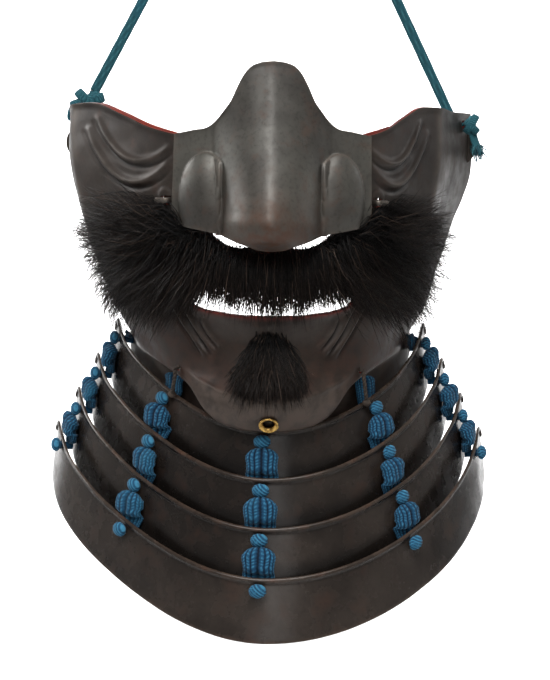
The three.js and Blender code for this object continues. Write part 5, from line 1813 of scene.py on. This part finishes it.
MOUSTACHE_FAN = (
    (0.0, 0.0, 0.458, 0.0, 0.637),
    (0.2, 0.1, 0.44, 0.12, 0.628),
    (0.32, 0.16, 0.437, 0.2, 0.6),
    (0.44, 0.2, 0.425, 0.31, 0.625),
    (0.55, 0.225, 0.42, 0.47, 0.67),
    (0.64, 0.24, 0.42, 0.6, 0.65),
    (0.72, 0.255, 0.42, 0.69, 0.58),
    (0.79, 0.265, 0.425, 0.73, 0.48),
    (0.86, 0.27, 0.436, 0.7, 0.39),
    (0.93, 0.275, 0.43, 0.58, 0.32),
    (1.0, 0.28, 0.42, 0.42, 0.29),
)
TUFT_FAN = (
    (0.0, 0.0, 0.7, 0.0, 0.89),
    (0.5, 0.018, 0.7, 0.07, 0.888),
    (1.0, 0.04, 0.71, 0.14, 0.87),
)
MOUSTACHE, TUFT = ("moustache", MOUSTACHE_FAN), ("chin_tuft", TUFT_FAN)
CHEEK_HAIR = {"count": 4300, "root_spread": 2.6, "tip_spread": 5.5, "thick": 5.2, "spring": 9.0}
HAIR_FANS = (
    HairFan("moustache_left", *MOUSTACHE, -1, -0.34, tip_lift=10, seed=21, reach=1.08, **CHEEK_HAIR),
    HairFan("moustache_right", *MOUSTACHE, 0.34, 1, tip_lift=13, seed=22, reach=1.27, **CHEEK_HAIR),
    HairFan("moustache_middle", *MOUSTACHE, -0.44, 0.44, 4000, 2.0, 2.6, 3.8, 2.5, 23),
    HairFan("chin_tuft_combed", *TUFT, -1, 1, 3000, 1.6, 2.6, 3.4, 2.6, 24, spring=0.5, scatter=0.62),
)


# Cord


@dataclass(frozen=True)
class HangingCord:
    """The flat woven cord from the left ear hole's knot over the hook to the right ear hole."""

    wide: float = 4.4
    thick: float = 1.7
    bend: float = 9.0
    knot_rise: float = 8.0
    knot_tall: float = 4.0
    weave_mm: float = 0.9  # coarser than the real weave, which would be lost in the picture
    twist_start: float = 0.72
    twist_end: float = 0.82
    tail_way: Triple = (0.22, 0, -1.0)
    threads: int = 130  # loose ones at the tail's end
    thread_radius: float = 0.16

    def ends(self) -> tuple[Array, Array]:
        """The cord's two ends: at the left knot, and behind the right ear hole."""
        left, _ = FACE.ear_hole(Side.LEFT)
        right, out = FACE.ear_hole(Side.RIGHT)
        top = float(FACE.top_z(-1.0)[0])
        left_end = np.array([left[0] + 8.6, left[1], top + self.knot_rise + self.knot_tall / 2])
        return left_end, right - out * (FACE.thickness + SEAT_GAP + self.wide / 2)

    def path(self) -> Array:
        """The middle line: two straight legs and an arc over the hook."""
        left_end, behind = self.ends()
        top = np.array([0.0, left_end[1], HANG_RISE + self.wide / 2])
        centre = top - np.array([0, 0, self.bend])
        to_end = centre - left_end
        slant = math.atan2(to_end[0], to_end[2])
        half = slant - math.asin(self.bend / math.hypot(to_end[0], to_end[2]))
        turns = np.linspace(math.pi / 2 - half, half - math.pi / 2, 33)
        arc = centre + self.bend * np.stack([-np.sin(turns), 0 * turns, np.cos(turns)], axis=1)
        up = np.linspace(left_end, arc[0], 150)[:-1]
        down = np.linspace(arc[-1], behind, 170)[1:]
        return np.concatenate([up, arc, down])

    def weave(self, turn: Array, along: Array) -> tuple[Array, Array]:
        """A flat braid's slanting stitches, meeting along its middle."""
        across = np.abs(np.cos(turn * 2 * math.pi))
        stitch = 0.5 + 0.5 * np.cos(2 * math.pi * (along / self.weave_mm + 1.4 * across))
        # the second value is the crest: painted highlight on the stitches and painted shade between them
        return 0.07 * (stitch - 0.5), 0.25 + 0.6 * stitch

    def build(self) -> list[Piece]:
        """Makes the cord and the knots at its two ends."""
        left_knot, right_knot, fray = self.left_knot(), self.right_knot(), self.fray()
        path = self.path()
        share = np.linspace(0, 1, len(path))
        along = unit(np.gradient(path, axis=0))
        front = np.array([0, -1.0, 0])
        flat_way = unit(np.cross(along, front))
        turn = math.pi * ease_step(self.twist_start, self.twist_end, share) + 0.12 * np.sin(share * 21)
        way = flat_way * np.cos(turn)[:, None] + front * np.sin(turn)[:, None]
        bm = swept(path, self.wide, self.thick, way, 16, self.weave, square=0.75)
        cord = add_piece("hanging_cord_woven", mesh_of(bm, [CORD_BRAID]), ["hanging_cord"])
        return [cord, left_knot, right_knot, fray]

    def tape(self, points: Sequence[Array], way: Triple, wide: float, thick: float, count: int) -> BMesh:
        """A short run of the flat cord through a few points, its width turned towards a way."""
        return swept(smooth_path(points, count), wide, thick, np.array(way), 16, self.weave, square=0.75)

    def ring(self, centre: Array, a: Triple, b: Triple, axis: Triple, wide: float, thick: float) -> BMesh:
        """One turn of the cord round a knot, in the plane of a and b."""
        turn = np.linspace(0, 2 * math.pi, 61)[:, None]
        path = centre + np.cos(turn) * np.array(a) + np.sin(turn) * np.array(b)
        return swept(path, wide, thick, unit(np.array(axis)), 14, self.weave, square=0.75)

    def knot(self, node: str, parts: Sequence[BMesh]) -> Piece:
        """Shows a knot's turns and runs as one piece."""
        return add_piece(f"{node}_tied", mesh_of(merged(parts), [CORD_BRAID]), [node])

    def left_knot(self) -> Piece:
        """The lump above the cheek's corner, with the loop down to the ear hole."""
        at, out = FACE.ear_hole(Side.LEFT)
        left_end, _ = self.ends()
        centre = left_end + np.array([-3, 0, -self.knot_tall - SEAT_GAP])
        top = float(FACE.top_z(-1.0)[0])
        outside, inside = at + out * 2.0, at - out * (FACE.thickness + 2.0)
        over = np.array([0, 0, top + 2 - at[2]])
        parts = [
            self.ring(centre, (6.6, 0, 2.0), (0, 2.7, 0.5), (-0.3, 0, 1.0), 4.4, 1.8),
            self.ring(centre, (4.0, 0, -4.2), (0, 3.1, 0), (1.0, 0, 0.9), 4.2, 1.7),
            self.ring(centre, (-4.8, 0, -3.2), (0, 2.4, 1.0), (-0.6, 0.1, 1.0), 4.2, 1.7),
            self.tape([left_end, left_end + np.array([-1.5, -1.2, -3]), centre], (1.0, 0, 0.6), 4.2, 1.6, 30),
            self.tape([centre, outside + over, outside, at, inside], (0, 1.0, 0.3), 3.2, 1.5, 70),
            self.tape([centre, inside + over, inside], (0, 1.0, -0.3), 3.2, 1.5, 40),
            ball(centre, np.eye(3), (3.6, 2.3, 3.0), knot_turns(6, 4)),
        ]
        return self.knot("cord_knot_left", parts)

    def right_knot(self) -> Piece:
        """The stopper outside the right ear hole with its hanging tail."""
        at, out = FACE.ear_hole(Side.RIGHT)
        lump = at + out * (SEAT_GAP + 3.2)
        inner = at - out * FACE.thickness
        down = unit(np.array(self.tail_way))
        tail = [lump + down * 2, lump + down * 6, lump + down * 10 + out * 0.6]
        parts = [
            self.ring(lump, (2.0, 0, 3.4), (0, 2.6, 0), (1.0, 0, -0.5), 3.4, 1.5),
            self.ring(lump + down * 1.2, (2.4, 0, -2.2), (0.2, 2.5, 0), (0.8, 0, 1.0), 3.4, 1.5),
            self.tape([inner, lump, lump + down * 4], (0, 1.0, 0), 3.0, 1.6, 40),
            self.tape(tail, (0.9, 0.5, 0), 4.0, 1.5, 60),
            ball(lump, np.eye(3), (2.2, 2.4, 3.6), knot_turns(5, -4)),
        ]
        return self.knot("cord_knot_right", parts)

    def fray(self) -> Piece:
        """The loose threads at the tail's end."""
        at, out = FACE.ear_hole(Side.RIGHT)
        down = unit(np.array(self.tail_way))
        start = at + out * (SEAT_GAP + 3.8) + down * 9.4
        chance = np.random.default_rng(12)
        count = self.threads
        roots = start + chance.uniform(-1, 1, (count, 3)) * np.array([1.7, 0.8, 0.4])
        ways = down + chance.normal(0, 0.3, (count, 3))
        curl = chance.normal(0, 1.0, (count, 3))
        t = np.linspace(0, 1, 8)[None, :, None]
        length = chance.uniform(2.5, 6.2, count)[:, None, None]
        paths = roots[:, None] + ways[:, None] * t * length + curl[:, None] * np.sin(t * 3) * 0.7
        radii = np.full((count, 7), self.thread_radius)
        mesh = strands_mesh(paths, radii, chance.uniform(0, 1, count), CORD_BRAID)
        crest = np.repeat(chance.uniform(0.2, 0.9, count), len(mesh.vertices) // count)
        mesh.attributes.new("crest", "FLOAT", "POINT").data.foreach_set("value", crest.astype(np.float32))
        return add_piece("cord_frayed_end", mesh, [])


# Studio


@dataclass(frozen=True)
class Softbox:
    """A large soft light: where it stands, what it looks at, its width, its power and its beam in degrees."""

    name: str
    place: Triple
    aim: Triple
    size: float
    watts: float
    beam: float = 180.0


@dataclass(frozen=True)
class Studio:
    """A pale sweep of paper, soft lights and the camera at the photograph's angle."""

    target: Triple = (0.0021, -0.0444, -0.240)
    distance: float = 0.85
    elevation: float = 5.0
    roll: float = 0.8
    lens: float = 107.15
    floor_z: float = -0.62
    front_y: float = -4.0
    wall_y: float = 3.2
    wall_rise: float = 9.0
    half_width: float = 16.0
    bend: float = 1.2
    lights: tuple[Softbox, ...] = (
        Softbox("key", (-0.4, -1.2, 1.1), (0.0, -0.05, -0.2), 0.8, 3.0, 70),
        Softbox("top", (0.2, -0.75, 1.3), (0.0, -0.05, -0.2), 0.7, 2.7, 70),
        Softbox("front", (0.2, -2.2, 0.1), (0.0, -0.05, -0.25), 1.2, 0.9, 60),
        Softbox("left side", (-1.2, 0.5, 0.3), (0.0, -0.02, -0.1), 0.5, 1.5, 70),
        Softbox("right side", (1.2, 0.5, 0.3), (0.0, -0.02, -0.1), 0.5, 0.25, 70),
        Softbox("paper left", (-0.9, 1.3, 1.4), (-0.2, 3.2, -0.1), 0.9, 30, 115),
        Softbox("paper right", (0.9, 1.3, 1.4), (0.2, 3.2, -0.1), 0.9, 30, 115),
        Softbox("floor left", (-1.9, -0.3, 1.5), (-2.9, -0.3, -0.62), 1.2, 8, 110),
        Softbox("floor right", (1.9, -0.3, 1.5), (2.9, -0.3, -0.62), 1.2, 8, 110),
        Softbox("far floor left", (-5.5, -0.3, 3.0), (-9.0, -0.3, -0.62), 2.5, 24, 140),
        Softbox("far floor right", (5.5, -0.3, 3.0), (9.0, -0.3, -0.62), 2.5, 24, 140),
        Softbox("paper floor", (0.0, 1.9, 1.9), (0.0, 2.4, -0.62), 1.0, 30, 95),
    )

    def build(self) -> None:
        """Sets up the camera, the floor, the lights and the world."""
        self.camera()
        self.paper()
        for box in self.lights:
            self.softbox(box)
        self.world()

    def camera(self) -> None:
        """Aims the camera by its target, its elevation and a slight roll."""
        made = placed("camera", bpy.data.cameras.new("camera"))
        lift = math.radians(self.elevation)
        back = Vector((0, -math.cos(lift), math.sin(lift)))
        made.location = Vector(self.target) + back * self.distance
        turn = Matrix.Rotation(math.pi / 2 - lift, 4, "X") @ Matrix.Rotation(math.radians(self.roll), 4, "Z")
        made.rotation_euler = turn.to_euler()
        made.data.lens = self.lens
        made.data.sensor_width = 36
        made.data.clip_start = 0.01
        bpy.context.scene.camera = made

    def paper(self) -> None:
        """One sheet of paper: a floor that bends up to a wall far behind."""
        bm = bmesh.new()
        start = [bm.verts.new((x, self.front_y, self.floor_z)) for x in (-self.half_width, self.half_width)]
        edge = bm.edges.new(start)
        made = bmesh.ops.extrude_edge_only(bm, edges=[edge])
        front = [item for item in made["geom"] if isinstance(item, bmesh.types.BMVert)]
        bmesh.ops.translate(bm, vec=(0, self.wall_y - self.bend - self.front_y, 0), verts=front)
        last = [item for item in made["geom"] if isinstance(item, bmesh.types.BMEdge)]
        bend = bmesh.ops.spin(
            bm,
            geom=last + front,
            cent=(0, self.wall_y - self.bend, self.floor_z + self.bend),
            axis=(1, 0, 0),
            angle=math.pi / 2,
            steps=24,
        )
        top = [item for item in bend["geom_last"] if isinstance(item, bmesh.types.BMEdge)]
        wall = bmesh.ops.extrude_edge_only(bm, edges=top)
        raised = [item for item in wall["geom"] if isinstance(item, bmesh.types.BMVert)]
        bmesh.ops.translate(bm, vec=(0, 0, self.wall_rise), verts=raised)
        bmesh.ops.recalc_face_normals(bm, faces=bm.faces)
        mesh = bpy.data.meshes.new("studio_paper")
        bm.to_mesh(mesh)
        bm.free()
        for face in mesh.polygons:
            face.use_smooth = True
        mesh.materials.append(PAPER.material())
        placed("studio_paper", mesh)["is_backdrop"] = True

    def softbox(self, box: Softbox) -> None:
        """Stands a light up and turns it to what it looks at."""
        light = bpy.data.lights.new(box.name, "AREA")
        light.shape = "SQUARE"
        light.size = box.size
        light.energy = box.watts
        light.spread = math.radians(box.beam)
        made = placed(box.name, light)
        made.location = box.place
        way = Vector(box.aim) - Vector(box.place)
        made.rotation_euler = way.to_track_quat("-Z", "Y").to_euler()

    def world(self) -> None:
        """A dim, even surround."""
        world = bpy.data.worlds.new("studio")
        bpy.context.scene.world = world
        world.use_nodes = True
        tree = world.node_tree
        tree.nodes.clear()
        light = add_node(tree, "ShaderNodeBackground", {"Color": linear("#ffffff"), "Strength": 0.23})
        add_node(tree, "ShaderNodeOutputWorld", links={"Surface": light})
        bpy.context.scene.view_settings.view_transform = "Standard"


def corners() -> list[list[float]]:
    """The shown object's lowest and highest corners as plain lists."""
    return [list(corner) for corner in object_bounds()]


def main() -> None:
    """Builds the studio and every sub-assembly in order."""
    logging.basicConfig(level=logging.INFO, format="%(name)s: %(message)s")
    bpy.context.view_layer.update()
    Studio().build()
    HangingCord().build()
    FacePlate().build()
    NosePiece(NOSE).build()
    NosePins().build()
    DrainEyelet().build()
    ThroatLames().build()
    Lacing().build()
    Thongs().build()
    for fan in HAIR_FANS:
        fan.build()


if __name__ == "__main__":
    main()
